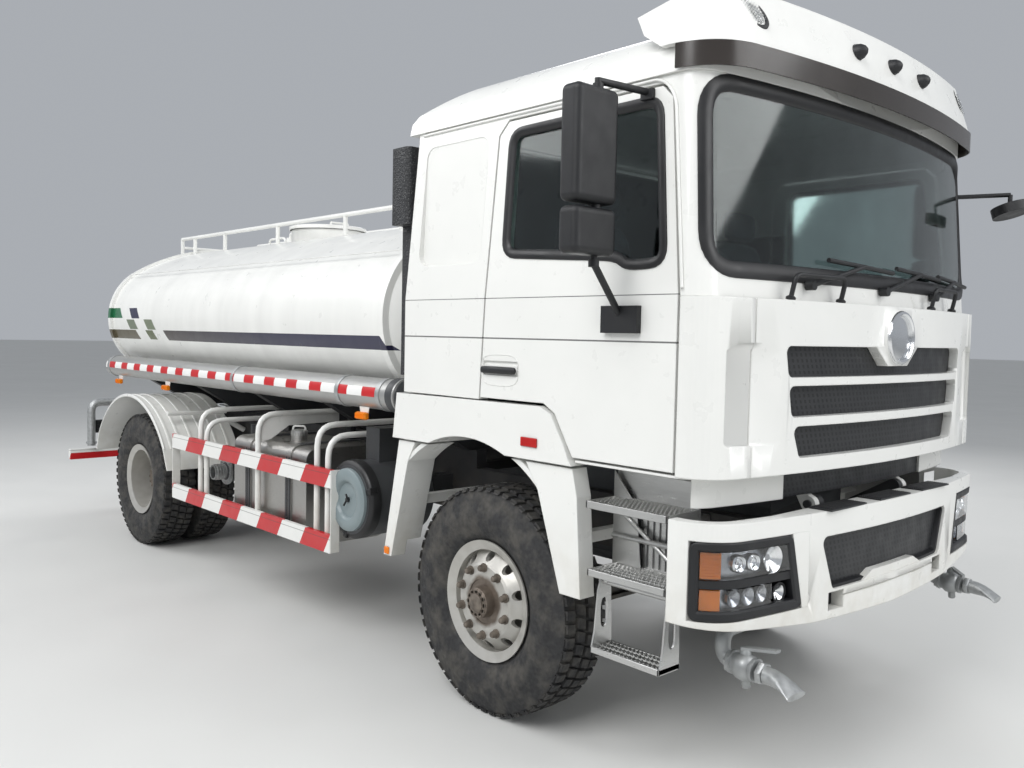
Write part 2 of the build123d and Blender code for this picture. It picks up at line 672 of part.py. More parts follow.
with BuildPart() as fascia_ends:
    add(bow_band(fascia_half_w, fascia_x, fascia_low_z, cab_floor_z, 40, 3545, 150))
    span_box((3500, 3900), (-fascia_open_y, fascia_open_y), (fascia_low_z - 5, cab_floor_z + 5),
             mode=Mode.SUBTRACT)
with BuildPart() as front_corners:
    add(corner_panels.part)
    add(fascia_ends.part)
front_corners.part.label = "corner_panels"
export_step(front_corners.part, "parts/corner_panels.step")

# Sun visor over the windscreen: a white hood with a smoked strip under it
visor_low_z = 2992
visor_high_z = 3222
visor_half_w = 1236
visor_t = 30
with BuildPart() as sun_visor:
    for inset, mode in ((0, Mode.ADD), (visor_t, Mode.SUBTRACT)):
        low = plan_face(visor_half_w - inset, 3200 - inset, 3768 - inset, visor_low_z - inset / 10, 260)
        high = plan_face(visor_half_w - 70 - inset, 3200 - inset, 3700 - inset, visor_high_z - inset, 240)
        loft([low.face(), high.face()], ruled=True, mode=mode)
    side_prism(((3420, 2980), (3800, 2980), (3800, 3225), (3560, 3225), (3240, 3150), (3300, 3060)),
               -1300, 1300, mode=Mode.INTERSECT)
    add(roof_outer, mode=Mode.SUBTRACT)
sun_visor.part.label = "sun_visor"
export_step(sun_visor.part, "parts/sun_visor.step")

with BuildPart() as visor_strip:
    add(bow_band(visor_half_w + 2, 3776, 2898, visor_low_z, 6, 3470, 262))
    add(roof_outer, mode=Mode.SUBTRACT)
visor_strip.part.label = "visor_strip"
export_step(visor_strip.part, "parts/visor_strip.step")

# Wipers. Columns: y of the pivot, y of the blade's middle, height of the blade's middle
wiper_table = ((-640, -240, 2196), (-60, 340, 2196), (520, 860, 2190))
wiper_pivot_z = 2096
blade_half = 270


def screen_point(y, z, off):
    """Point in front of the windscreen's face by a distance along x."""
    lean = (screen_x - screen_top_x) / (header_z - waist_z)
    return (screen_x - lean * (z - waist_z) - y**2 / (2 * bow_r) + off, y, z)


with BuildPart() as wipers:
    for pivot, middle, z in wiper_table:
        bar(screen_point(pivot, wiper_pivot_z, 6), screen_point(pivot, wiper_pivot_z, 44), 20)
        bar(screen_point(pivot, wiper_pivot_z, 34), screen_point(middle, z, 30), 10)
        bar(screen_point(middle - blade_half, z + 12, 24), screen_point(middle, z, 24), 10)
        bar(screen_point(middle, z, 24), screen_point(middle + blade_half, z - 12, 24), 10)
wipers.part.label = "wipers"
export_step(wipers.part, "parts/wipers.step")

# Seats with the bunk behind, dashboard with steering wheel at the right
with BuildPart() as seats:
    for side in sides.values():
        y = side * 620
        span_box((2560, 3060), (y - 250, y + 250), (1700, 1830))
        span_box((2640, 2980), (y - 200, y + 200), (cab_floor_z + wall_t, 1700))
        side_prism(((2560, 1810), (2690, 1810), (2600, 2440), (2490, 2440)), y - 240, y + 240)
        side_prism(((2500, 2450), (2590, 2450), (2575, 2620), (2500, 2620)), y - 140, y + 140)
        bar((2545, y, 2420), (2545, y, 2470), 20)
    span_box((1850, 2330), (-1120, 1120), (1700, 1900))
    span_box((1900, 2250), (-830, 830), (cab_floor_z + wall_t, 1700))
seats.part.label = "seats"
export_step(seats.part, "parts/seats.step")

wheel_y = -620
with BuildPart() as dashboard:
    side_prism(((3250, 1700), (3330, 1650), (3560, 1650), (3560, 2080), (3420, 2100), (3300, 2010)),
               -1120, 1120)
    bar((3330, wheel_y, 1900), (3110, wheel_y, 2085), 30)
    with Locations(Plane(origin=(3110, wheel_y, 2085), z_dir=(-0.76, 0, 0.65))):
        Torus(215, 16)
        Box(400, 34, 16)
        Box(34, 400, 16)
        Cylinder(60, 40)
dashboard.part.label = "dashboard"
export_step(dashboard.part, "parts/dashboard.step")

# Front bumper: bowed shell with lamp openings, centre opening and tow holes, and a top step
bumper_corner_r = 205
lamp_y = 693
lamp_x = 3603
lamp_z = (790, 1100)
bumper_outline = ((0, bumper_low_z), (640, bumper_low_z + 15), (cab_half_w + 5, 767), (cab_half_w + 5, 1180),
                  (0, 1180))
grille_open = ((-523, 835), (523, 835), (613, 1065), (-613, 1065))
tow_hole = ((440, 550), (748, 824))
with BuildPart() as bumper_shell:
    add(bow_band(cab_half_w, bumper_x, bumper_low_z, bumper_top_z, bumper_t, bumper_rear_x, bumper_corner_r))
    front_prism(both_sides(bumper_outline), 3400, 3900, mode=Mode.INTERSECT)
with BuildPart() as bumper_step:
    extrude(plan_face(cab_half_w - bumper_t + 5, 3500, bumper_x - bumper_t + 5, bumper_top_z - 30,
                      bumper_corner_r - bumper_t), amount=30)
    span_box((3726, 3900), (-900, 900), (bumper_top_z - 30, bumper_top_z), mode=Mode.INTERSECT)
with BuildPart() as front_bumper:
    add(bumper_shell.part)
    add(bumper_step.part)
    front_prism(grille_open, 3700, 3900, 30, mode=Mode.SUBTRACT)
    for side in sides.values():
        span_box((lamp_x, 3900), ordered(side * lamp_y, side * 1300), lamp_z, mode=Mode.SUBTRACT)
        span_box((3700, 3900), ordered(side * tow_hole[0][0], side * tow_hole[0][1]), tow_hole[1],
                 mode=Mode.SUBTRACT)
front_bumper.part.label = "front_bumper"
export_step(front_bumper.part, "parts/front_bumper.step")

with BuildPart() as headlamps:
    add(bow_band(cab_half_w - 6, bumper_x - 6, lamp_z[0], lamp_z[1], 70, lamp_x, bumper_corner_r - 6))
    span_box((3500, 3900), (-lamp_y, lamp_y), (700, 1200), mode=Mode.SUBTRACT)

pad_size = (105, 300, 7)
with BuildPart() as bumper_mesh:
    add(bow_band(cab_half_w - bumper_t + 18, bumper_x - bumper_t + 18, 815, 1085, 16, 3600, bumper_corner_r))
    span_box((3500, 3900), (-640, 640), (800, 1090), mode=Mode.INTERSECT)
with BuildPart() as bumper_grille:
    add(bumper_mesh.part)
    add(front_bumper.part, mode=Mode.SUBTRACT)
    with Locations([(3784, y, bumper_top_z + pad_size[2] / 2) for y in (-430, 0, 430)]):
        Box(*pad_size)
bumper_grille.part.label = "bumper_grille"
export_step(bumper_grille.part, "parts/bumper_grille.step")

# Wheel arches: the panels over the front wheels ride with the cab, the legs stand on the frame
fender_outline = ((1682, leg_gap_z + 6), (door_seam[4][0] + 6, leg_gap_z + 6),
                  (door_seam[4][0] - door_fender_gap, door_low_z - 12),
                  (door_seam[3][0] - door_fender_gap, door_seam[3][1]),
                  (door_seam[2][0] - door_fender_gap, door_seam[2][1] - 4),
                  (door_seam[1][0] - door_fender_gap, door_mid_z - door_fender_gap),
                  (1714, door_mid_z - door_fender_gap - 4))
with BuildPart() as fender_panels:
    for side in sides.values():
        side_prism(fender_outline, *ordered(side * fender_y[0], side * fender_y[1]))
    add(arch_cut.part, mode=Mode.SUBTRACT)
with BuildPart() as cab_liner:
    add(arch_skin.part)
    span_box((1500, 3100), (-fender_y[0] - 20, fender_y[0] + 20), (leg_gap_z + 6, 1420), mode=Mode.INTERSECT)
    span_box((1500, 3100), (-fender_in_y, fender_in_y), (1000, 1500), mode=Mode.SUBTRACT)
with BuildPart() as cab_fenders:
    add(fender_panels.part)
    add(cab_liner.part)
cab_fenders.part.label = "cab_fenders"
export_step(cab_fenders.part, "parts/cab_fenders.step")

# Legs: rear narrow leg and front broad leg, each with its strip of liner
rear_leg = ((1800, 1195), (1860, leg_gap_z - 6), (1720, leg_gap_z - 6), (1699, 1195), (1591, 662), (1660, 662))
front_leg = ((2780, 1180), (2700, leg_gap_z - 6), (2990, leg_gap_z - 6), (3020, 1180), (3053, 745), (2931, 745))
with BuildPart() as leg_posts:
    for side in sides.values():
        for leg in (rear_leg, front_leg):
            side_prism(leg, *ordered(side * 1150, side * 1240))
    add(arch_cut.part, mode=Mode.SUBTRACT)
# clear of the tyre's shoulder at full lock
leg_liner_y = 1060
with BuildPart() as leg_liner:
    add(arch_skin.part)
    span_box((1500, 3100), (-1235, 1235), (745, leg_gap_z - 6), mode=Mode.INTERSECT)
    span_box((1500, 3100), (-leg_liner_y, leg_liner_y), (600, 1400), mode=Mode.SUBTRACT)
with BuildPart() as fender_legs:
    add(leg_posts.part)
    add(leg_liner.part)
    for side in sides.values():
        for x in (1700, 2900):
            span_box((x - 25, x + 25), ordered(side * rail_y, side * 1170), (940, 990))
    add(arch_cut.part, mode=Mode.SUBTRACT)
fender_legs.part.label = "fender_legs"
export_step(fender_legs.part, "parts/fender_legs.step")

# Snorkel behind the cab, and the kerb mirror on its arm
with BuildPart() as snorkel:
    span_box((1600, 1760), (-1235, -1060), (2440, 2840))
    fillet(snorkel.edges().filter_by(Axis.Z), 30)
    span_box((1600, 1676), (-1150, -1070), (1640, 2450))
    span_box((1670, 1774), (-1140, -1090), (2200, 2240))
snorkel.part.label = "snorkel"
export_step(snorkel.part, "parts/snorkel.step")

with BuildPart() as kerb_mirror:
    bar((3520, 1232, 2690), (3770, 1400, 2700), 12)
    bar((3770, 1400, 2700), (3770, 1400, 2640), 12)
    bar((3770, 1400, 2640), (3785, 1400, 2590), 100)
kerb_mirror.part.label = "kerb_mirror"
export_step(kerb_mirror.part, "parts/kerb_mirror.step")

# Entry steps: two fixed treads and a hanging lower step on each side
# Treads: x range, y range, height of the top, thickness
tread_table = (((3196, 3504), (1035, 1240), 1177, 32), ((3210, 3504), (1030, 1240), 888, 30),
               ((3105, 3467), (1095, 1228), 556, 26))
with BuildPart() as entry_steps:
    for side in sides.values():
        for x_span, y_span, top, thick in tread_table:
            span_box(x_span, ordered(side * y_span[0], side * y_span[1]), (top - thick, top))
        # back wall, end wall on the arch's side, and bracket to the frame
        span_box((3070, 3504), ordered(side * 1020, side * 1036), (800, 1290))
        side_prism(((3072, 1290), (3200, 1150), (3230, 880), (3200, 790), (3072, 790)),
                   *ordered(side * 1030, side * 1060))
        span_box((3440, 3500), ordered(side * rail_y, side * 1025), (880, 960))
        span_box((3090, 3140), ordered(side * rail_y, side * 1025), (1000, 1030))
        for x in (3120, 3452):
            side_prism(((x - 22, 540), (x + 12, 540), (x + 60, 800), (x - 20, 870), (x - 60, 800)),
                       *ordered(side * 1100, side * 1118))
        span_box((3150, 3500), ordered(side * 1030, side * 1120), (846, 862))
entry_steps.part.label = "entry_steps"
export_step(entry_steps.part, "parts/entry_steps.step")

# Fuel tank with straps on the right, battery box and air tanks on the left
fuel_x = (-400, 600)
fuel_y = (545, 1150)
fuel_z = (500, 1120)
strap_x = (-180, 380)
strap_t = 8
with BuildPart() as fuel_straps:
    for x in strap_x:
        span_box((x - 30, x + 30), (-fuel_y[1] - strap_t, -fuel_y[0] + strap_t),
                 (fuel_z[0] - strap_t, fuel_z[1] + strap_t))
    fillet(fuel_straps.edges().filter_by(Axis.X), 76)
with BuildPart() as fuel_tank:
    span_box(fuel_x, (-fuel_y[1], -fuel_y[0]), fuel_z)
    fillet(fuel_tank.edges().filter_by(Axis.X), 70)
    bar((137, -940, fuel_z[1] - 5), (137, -940, 1175), 55)
    add(fuel_straps.part)
    for x in strap_x:
        span_box((x - 30, x + 30), (-fuel_y[0] - 10, -rail_y), (fuel_z[0] + 320, fuel_z[0] + 520))
fuel_tank.part.label = "fuel_tank"
export_step(fuel_tank.part, "parts/fuel_tank.step")

with BuildPart() as battery_carrier:
    span_box((350, 950), (480, 1130), (640, 1090))
    for x in (-1060, -460):
        bar((x, 760, 900), (x + 520, 760, 900), 135)
        span_box((x + 230, x + 290), (rail_y, 640), (860, 940))
    span_box((-900, 900), (rail_y, 482), (840, 960))
battery_carrier.part.label = "battery_carrier"
export_step(battery_carrier.part, "parts/battery_carrier.step")

# Air cleaner drum across the frame behind the cab, and the silencer on the other side
with BuildPart() as air_cleaner:
    bar((1130, -1170, 885), (1130, -700, 885), 225)
    chamfer(air_cleaner.edges().filter_by(GeomType.CIRCLE), 22)
    span_box((1080, 1180), (-705, -rail_y), (860, 980))
    span_box((1060, 1200), (-1010, -760), (1090, 1300))
air_cleaner.part.label = "air_cleaner"
export_step(air_cleaner.part, "parts/air_cleaner.step")

with BuildPart() as silencer:
    bar((1200, 620, 880), (1200, 1120, 880), 190)
    span_box((1150, 1250), (rail_y, 640), (860, 940))
    bar((1200, 900, 700), (1200, 900, 560), 45)
silencer.part.label = "silencer"
export_step(silencer.part, "parts/silencer.step")

# Tank: an oval barrel with flanged rings and dished heads
tank_top_r = ((tank_half_w - tank_side_r)**2 + tank_half_h**2 - tank_side_r**2) / (
    2 * (tank_half_h - tank_side_r))


def tank_oval(x, grow=0):
    """Tank section at x, from two flat arcs and two tight ones, grown outward."""
    centre_y = tank_half_w - tank_side_r
    centre_z = tank_top_r - tank_half_h
    reach = math.hypot(centre_y, centre_z)
    side_r = tank_side_r + grow
    join = (centre_y + side_r * centre_y / reach, side_r * centre_z / reach)
    with BuildSketch(Plane.YZ.offset(x)) as oval:
        with BuildLine():
            for end in (1, -1):
                ThreePointArc((end * join[0], tank_zc + join[1]), (end * (tank_half_w + grow), tank_zc),
                              (end * join[0], tank_zc - join[1]))
                ThreePointArc((join[0], tank_zc + end * join[1]), (0, tank_zc + end * (tank_half_h + grow)),
                              (-join[0], tank_zc + end * join[1]))
        make_face()
    return oval.sketch


ring_w = 55
with BuildPart() as tank_barrel:
    extrude(tank_oval(tank_rear_x), amount=tank_front_x - tank_rear_x)
with BuildPart() as tank_body:
    add(tank_barrel.part)
    for x in (tank_front_x - ring_w, tank_rear_x):
        extrude(tank_oval(x, tank_ring), amount=ring_w)
    for x, way in ((tank_front_x, 1), (tank_rear_x, -1)):
        steps = ((0, -20), (45, -75), (head_depth, -260))
        for (x0, grow0), (x1, grow1) in zip(steps, steps[1:]):
            loft([tank_oval(x + way * x0, grow0).face(), tank_oval(x + way * x1, grow1).face()], ruled=True)
tank_body.part.label = "tank_body"
export_step(tank_body.part, "parts/tank_body.step")

lid_z = 2701
lid_hinge_x = -1420
manhole_x = -1075
with BuildPart() as manhole_lid:
    bar((manhole_x, 0, lid_z), (manhole_x, 0, lid_z + 26), 318)
    span_box((lid_hinge_x - 20, -1300), (-60, 60), (lid_z + 4, lid_z + 26))
    bar((lid_hinge_x, -70, lid_z + 15), (lid_hinge_x, 70, lid_z + 15), 16)
    bar((-900, -80, lid_z + 60), (-900, 80, lid_z + 60), 9)
    for y in (-80, 80):
        bar((-900, y, lid_z + 20), (-900, y, lid_z + 60), 9)
manhole_lid.part.label = "manhole_lid"
export_step(manhole_lid.part, "parts/manhole_lid.step")

# Tank sills on the frame, and the saddles on them under the barrel
sill_top_z = 1150
saddle_x = (1300, 300, -700, -1750, -2750)
with BuildPart() as tank_sills:
    for side in sides.values():
        span_box((tank_rear_x - 40, tank_front_x - 40), ordered(side * (rail_y - 80), side * rail_y),
                 (frame_top, sill_top_z))
tank_sills.part.label = "tank_sills"
export_step(tank_sills.part, "parts/tank_sills.step")

with BuildPart() as tank_saddles:
    for x in saddle_x:
        front_prism(((-440, sill_top_z), (440, sill_top_z), (860, 1400), (-860, 1400)), x - 45, x + 45)
    add(tank_barrel.part, mode=Mode.SUBTRACT)
tank_saddles.part.label = "tank_saddles"
export_step(tank_saddles.part, "parts/tank_saddles.step")

# Hose tubes along both flanks, with end caps and arms to the barrel
hose_y = 1120
hose_z = 1520
hose_r = 90
with BuildPart() as hose_tubes:
    for side in sides.values():
        bar((-2850, side * hose_y, hose_z), (1570, side * hose_y, hose_z), hose_r)
        bar((1560, side * hose_y, hose_z), (1620, side * hose_y, hose_z), hose_r + 8)
        for x in (1300, 300, -700, -1750, -2750):
            span_box((x - 25, x + 25), ordered(side * 820, side * (hose_y - 60)), (hose_z - 40, hose_z - 10))
    add(tank_barrel.part, mode=Mode.SUBTRACT)
hose_tubes.part.label = "hose_tubes"
export_step(hose_tubes.part, "parts/hose_tubes.step")

# Fittings on the tank: manhole neck, vent, top rails, and the rear ladder with its platform
rail_r = 17
top_rail_y = 400
top_rail_z = 2730
with BuildPart() as tank_fittings:
    bar((manhole_x, 0, tank_zc), (manhole_x, 0, 2700), 300)
    bar((-1700, 0, tank_zc), (-1700, 0, 2690), 40)
    for side in sides.values():
        y = side * top_rail_y
        bar((550, y, top_rail_z), (-3100, y, top_rail_z), rail_r)
        for x in (540, -170, -1195, -2170, -2810):
            bar((x, y, 2560), (x, y, top_rail_z), rail_r)
        bar((-3100, y, top_rail_z), (-3100, y, 1170), rail_r)
        for z in range(1400, 2700, 250):
            bar((-3100, 0, z), (-3100, y, z), 14)
        # the platform stands on the frame's tail
        span_box((-3780, -3010), ordered(side * 350, side * 430), (frame_top, 1152))
    span_box((-3780, -3010), (-700, 700), (1150, 1180))
    add(tank_barrel.part, mode=Mode.SUBTRACT)
tank_fittings.part.label = "tank_fittings"
export_step(tank_fittings.part, "parts/tank_fittings.step")

# Guard boards along each flank and the under-run beam across the tail, and the posts that carry them
guard_x = (-1300, 1020)
guard_y = 1205
board_t = 27
board_z = ((940, 1050), (550, 660))
post_x = (guard_x[0] + 60, -560, 200, guard_x[1] - 12)
underrun_z = (545, 645)
with BuildPart() as guard_boards:
    for side in sides.values():
        for z_span in board_z:
            span_box(guard_x, ordered(side * guard_y, side * (guard_y + board_t)), z_span)
    span_box((-3950, -3890), (-1200, 1200), underrun_z)
guard_boards.part.label = "guard_boards"
export_step(guard_boards.part, "parts/guard_boards.step")

with BuildPart() as guard_posts:
    for side in sides.values():
        for x in post_x:
            span_box((x - 20, x + 20), ordered(side * (guard_y - 25), side * guard_y), (540, 1275))
            bar((x, side * (guard_y - 13), 1250), (x, side * 450, 1190), 18)
            span_box((x - 25, x + 25), ordered(side * rail_y, side * (rail_y + 40)), (1050, 1215))
        span_box((-3890, -3860), ordered(side * rail_y, side * (rail_y + 30)), (560, 1000))
guard_posts.part.label = "guard_posts"
export_step(guard_posts.part, "parts/guard_posts.step")

# Rear mudguards over the twin wheels
with BuildPart() as rear_fenders:
    for inset, mode in ((0, Mode.ADD), (14, Mode.SUBTRACT)):
        with BuildSketch(Plane.XZ.offset(-1225)) as arch:
            with BuildLine():
                Line((-1420 - inset, 740), (-1500 - inset, 900))
                ThreePointArc((-1500 - inset, 900), (rear_axle_x, 1290 - inset), (-3000 + inset, 900))
                Line((-3000 + inset, 900), (-3060 + inset, 740))
                Line((-3060 + inset, 740), (-1420 - inset, 740))
            make_face()
        extrude(arch.sketch, amount=2450, mode=mode)
    span_box((-3200, -1300), (-600, 600), (600, 1400), mode=Mode.SUBTRACT)
    for side in sides.values():
        for x in (-1700, -2800):
            bar((x, side * 640, 1115), (x, side * (rail_y + 12), 1000), 22)
rear_fenders.part.label = "rear_fenders"
export_step(rear_fenders.part, "parts/rear_fenders.step")

# Head lamps and tail lamps
with BuildPart() as lamps:
    add(headlamps.part)
    for side in sides.values():
        span_box((-3930, -3870), ordered(side * 520, side * 980), (800, 930))
        span_box((-3870, -3850), ordered(side * (rail_y + 30), side * 960), (840, 890))
lamps.part.label = "lamps"
export_step(lamps.part, "parts/lamps.step")

# Water pump with its pipes, front nozzles and rear spray bar
suction_r = 55
with BuildPart() as spray_gear:
    bar((-950, -760, 800), (-650, -760, 800), 150)
    bar((-700, -760, 800), (-560, -760, 800), 70)
    # suction inlet with its collar
    bar((-800, -760, 800), (-800, -1130, 800), suction_r)
    bar((-800, -760, 800), (-800, -1040, 800), suction_r + 25)
    span_box((-880, -720), (-640, -rail_y), (760, 880))
    bar((-800, -760, 900), (-800, -760, 1140), 60)
    for side in sides.values():
        add(tube_path([(3600, side * 500, 700), (3600, side * 980, 700), (3600, side * 980, 590),
                       (3947, side * 1000, 575)], 55, 32))
        span_box((3560, 3640), ordered(side * 470, side * 530), (660, 745))
        bar((-3835, side * 1020, 680), (-3835, side * 1020, 1120), 40)
    bar((-3835, -1020, 1110), (-3835, 1020, 1110), 36)
spray_gear.part.label = "spray_gear"
export_step(spray_gear.part, "parts/spray_gear.step")
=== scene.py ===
import math

import bmesh
import bpy
from mathutils import Matrix, Vector


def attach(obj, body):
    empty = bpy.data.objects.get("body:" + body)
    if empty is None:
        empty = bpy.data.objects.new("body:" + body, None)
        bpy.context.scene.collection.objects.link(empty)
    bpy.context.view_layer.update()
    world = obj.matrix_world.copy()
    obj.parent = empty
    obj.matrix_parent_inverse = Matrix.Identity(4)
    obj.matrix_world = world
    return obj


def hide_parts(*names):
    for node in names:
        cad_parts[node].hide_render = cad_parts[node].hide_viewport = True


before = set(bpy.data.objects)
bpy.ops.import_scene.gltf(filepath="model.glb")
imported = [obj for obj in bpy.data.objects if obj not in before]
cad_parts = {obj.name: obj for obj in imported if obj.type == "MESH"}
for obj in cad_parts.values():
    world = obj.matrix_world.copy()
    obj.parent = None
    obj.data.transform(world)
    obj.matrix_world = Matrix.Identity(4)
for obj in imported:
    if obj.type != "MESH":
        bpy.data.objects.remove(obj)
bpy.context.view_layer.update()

# Metres, in the CAD frame: x forward, y to the vehicle's left, z up.
SIDES = {"right": -1, "left": 1}
UP = Vector((0, 0, 1))

# Camera, fitted to the photograph's wheels, cab and tank
CAMERA_AT = (5.6685, -4.0636, 1.8683)
CAMERA_TURN = math.radians(47.409)
CAMERA_DIP = math.radians(3.075)
CAMERA_ROLL = math.radians(1.187)
FOCAL_PX = 910.77
PHOTO_WIDTH_PX = 1024
SENSOR_MM = 36

# Wheels
AXLE_Z = 0.5625
FRONT_X = 2.35
REAR_X = -2.25
TYRE_R = 0.5625
FRONT_TYRE_Y = 1.032
TWIN_YS = (1.003, 0.653)
DISC_FACE_Y = FRONT_TYRE_Y + 0.140
TWIN_DISC_Y = 0.828 + 0.012
NUT_CIRCLE_R = 0.1675


# Materials

class Shader:
    """One node material, with short calls for the nodes that it is made of."""

    def __init__(self, name, rough, metal=0.0, **sockets):
        self.mat = bpy.data.materials.new(name)
        self.mat.use_nodes = True
        self.nodes = self.mat.node_tree.nodes
        self.links = self.mat.node_tree.links
        self.bsdf = self.nodes["Principled BSDF"]
        self.bsdf.inputs["Roughness"].default_value = rough
        self.bsdf.inputs["Metallic"].default_value = metal
        for socket, value in sockets.items():
            self.bsdf.inputs[socket.replace("_", " ")].default_value = value
        self.place = self.nodes.new("ShaderNodeTexCoord").outputs["Object"]
        split = self.nodes.new("ShaderNodeSeparateXYZ")
        self.links.new(self.place, split.inputs[0])
        self.x, self.y, self.z = split.outputs
        self.edges = None

    def feed(self, socket, value):
        if isinstance(value, (int, float)):
            socket.default_value = value
        elif isinstance(value, tuple):
            socket.default_value = (*value, 1.0)
        else:
            self.links.new(value, socket)

    def math(self, operation, *values):
        """Result of one operation on numbers or sockets."""
        node = self.nodes.new("ShaderNodeMath")
        node.operation = operation
        for socket, value in zip(node.inputs, values):
            self.feed(socket, value)
        return node.outputs[0]

    def product(self, first, *others):
        for other in others:
            first = self.math("MULTIPLY", first, other)
        return first

    def minus(self, first, second):
        return self.math("SUBTRACT", first, second)

    def size(self, value):
        return self.math("ABSOLUTE", value)

    def within(self, value, low, high):
        """1 where the value lies between low and high."""
        return self.product(self.math("GREATER_THAN", value, low), self.math("LESS_THAN", value, high))

    def mix(self, factor, first, second):
        node = self.nodes.new("ShaderNodeMix")
        node.data_type = "RGBA"
        self.feed(node.inputs[0], factor)
        self.feed(node.inputs[6], first)
        self.feed(node.inputs[7], second)
        return node.outputs[2]

    def noise(self, scale, detail=3.0, stretch=None):
        node = self.nodes.new("ShaderNodeTexNoise")
        node.inputs["Scale"].default_value = scale
        node.inputs["Detail"].default_value = detail
        if stretch:
            turn = self.nodes.new("ShaderNodeMapping")
            turn.inputs["Scale"].default_value = stretch
            self.links.new(self.place, turn.inputs[0])
            self.links.new(turn.outputs[0], node.inputs["Vector"])
        else:
            self.links.new(self.place, node.inputs["Vector"])
        return node.outputs[0]

    def spread(self, value, low, high, to_low, to_high):
        """Linear change of range."""
        node = self.nodes.new("ShaderNodeMapRange")
        for socket, number in zip(node.inputs, (value, low, high, to_low, to_high)):
            self.feed(socket, number)
        return node.outputs[0]

    def colour(self, value):
        self.feed(self.bsdf.inputs["Base Color"], value)

    def rough(self, value):
        self.feed(self.bsdf.inputs["Roughness"], value)

    def bump(self, height, distance, strength=1.0):
        node = self.nodes.new("ShaderNodeBump")
        node.inputs["Distance"].default_value = distance
        node.inputs["Strength"].default_value = strength
        self.links.new(height, node.inputs["Height"])
        if self.edges:
            self.links.new(self.edges, node.inputs["Normal"])
        self.links.new(node.outputs[0], self.bsdf.inputs["Normal"])

    def soft_edges(self, radius):
        """Edges shaded as if rounded. Called before bump."""
        node = self.nodes.new("ShaderNodeBevel")
        node.samples = 4
        node.inputs["Radius"].default_value = radius
        self.edges = node.outputs[0]
        self.links.new(self.edges, self.bsdf.inputs["Normal"])

    def cells(self, scale):
        """Distance to the nearest point of a scatter."""
        node = self.nodes.new("ShaderNodeTexVoronoi")
        node.inputs["Scale"].default_value = scale
        self.links.new(self.place, node.inputs["Vector"])
        return node.outputs[0]


def tones(base, low, high):
    """Darker and lighter shade of a colour."""
    return tuple(c * low for c in base), tuple(c * high for c in base)


def finish(name, base, rough, metal=0.0, drift=0.06, scale=3.0, grain=0.0, grain_scale=400.0, **sockets):
    """Finish whose colour and roughness drift softly over the vehicle, with an optional fine grain."""
    shader = Shader(name, rough, metal, **sockets)
    dark, light = tones(base, 1 - drift, 1 + drift)
    cloud = shader.noise(scale, 5.0)
    shader.colour(shader.mix(shader.spread(cloud, 0.3, 0.7, 0.0, 1.0), dark, light))
    shader.rough(shader.spread(shader.noise(scale * 4, 4.0), 0.3, 0.7, rough * 0.8, min(rough * 1.2, 1.0)))
    if grain:
        shader.bump(shader.noise(grain_scale, 2.0), grain)
    return shader


def road_dirt(shader, base, dirt, low, high):
    """Dust that thickens from height high down to height low."""
    height = shader.spread(shader.z, high, low, 0.0, 1.0)
    patchy = shader.product(height, shader.spread(shader.noise(9.0, 6.0), 0.35, 0.7, 0.25, 1.0))
    dark, light = tones(base, 0.95, 1.03)
    clean = shader.mix(shader.noise(3.0), dark, light)
    soiled = shader.mix(patchy, clean, dirt)
    shader.colour(soiled)
    return soiled


WHITE = (0.80, 0.80, 0.77)
NAVY = (0.007, 0.006, 0.040)
RED = (0.52, 0.008, 0.012)


# Painted shade lines in the creases along the cab's sides: middle and width in z, and the reach in x of each
CREASE_SHADE_LINES = ((1.852, 0.007, 1.76, 3.53), (2.038, 0.004, 1.76, 3.53))
FLANK_Y = 1.225
# Dark lining on the inside of the shell: reach in x and z, and in y at the waist, narrowing above it
WAIST_Z = 2.038
LINING_X = (1.825, 3.50)
LINING_Z = (1.36, 2.93)
LINING_Y = 1.187
LINING_LEAN = 0.055


def cab_white():
    """White enamel with dust low down, and painted shade lines in the creases along the cab's sides."""
    shader = finish("cab_white", WHITE, 0.32, drift=0.02, Coat_Weight=0.5, Coat_Roughness=0.08)
    shader.soft_edges(0.007)
    shader.bump(shader.noise(5.0, 1.0), 0.0006)
    paint = road_dirt(shader, WHITE, (0.62, 0.60, 0.54), 0.65, 1.1)
    beside = shader.size(shader.y)
    flank = shader.math("GREATER_THAN", beside, FLANK_Y)
    for middle, width, x_low, x_high in CREASE_SHADE_LINES:
        # A dark grey line of painted shade in each crease, standing for the shade inside the groove.
        across = shader.within(shader.z, middle - width / 2, middle + width / 2)
        crease_shade = shader.product(across, flank, shader.within(shader.x, x_low, x_high))
        paint = shader.mix(crease_shade, paint, (0.16, 0.16, 0.155))
    above = shader.math("MAXIMUM", shader.minus(shader.z, WAIST_Z), 0.0)
    reach = shader.math("MULTIPLY_ADD", above, -LINING_LEAN, LINING_Y)
    inside = shader.product(shader.math("LESS_THAN", beside, reach), shader.within(shader.x, *LINING_X),
                            shader.within(shader.z, *LINING_Z))
    shader.colour(shader.mix(inside, paint, (0.055, 0.056, 0.060)))
    return shader.mat


# Marks on the tank's flanks. Columns: low and high x at mid height, low and high z, colour
TANK_MARKS = (
    (-2.98, -2.636, 1.948, 2.037, (0.012, 0.13, 0.05)),
    (-2.418, -2.241, 1.944, 2.034, NAVY),
    (-2.475, -2.294, 1.852, 1.935, (0.16, 0.19, 0.13)),
    (-2.079, -1.904, 1.851, 1.936, (0.17, 0.20, 0.13)),
    (-2.98, -2.287, 1.768, 1.846, (0.10, 0.085, 0.05)),
    (-2.073, -1.916, 1.770, 1.846, (0.10, 0.12, 0.05)),
)
STRIPE_Z = (1.768, 1.848)
STRIPE_X = (-1.692, 1.44)
MARK_LEAN = 0.85


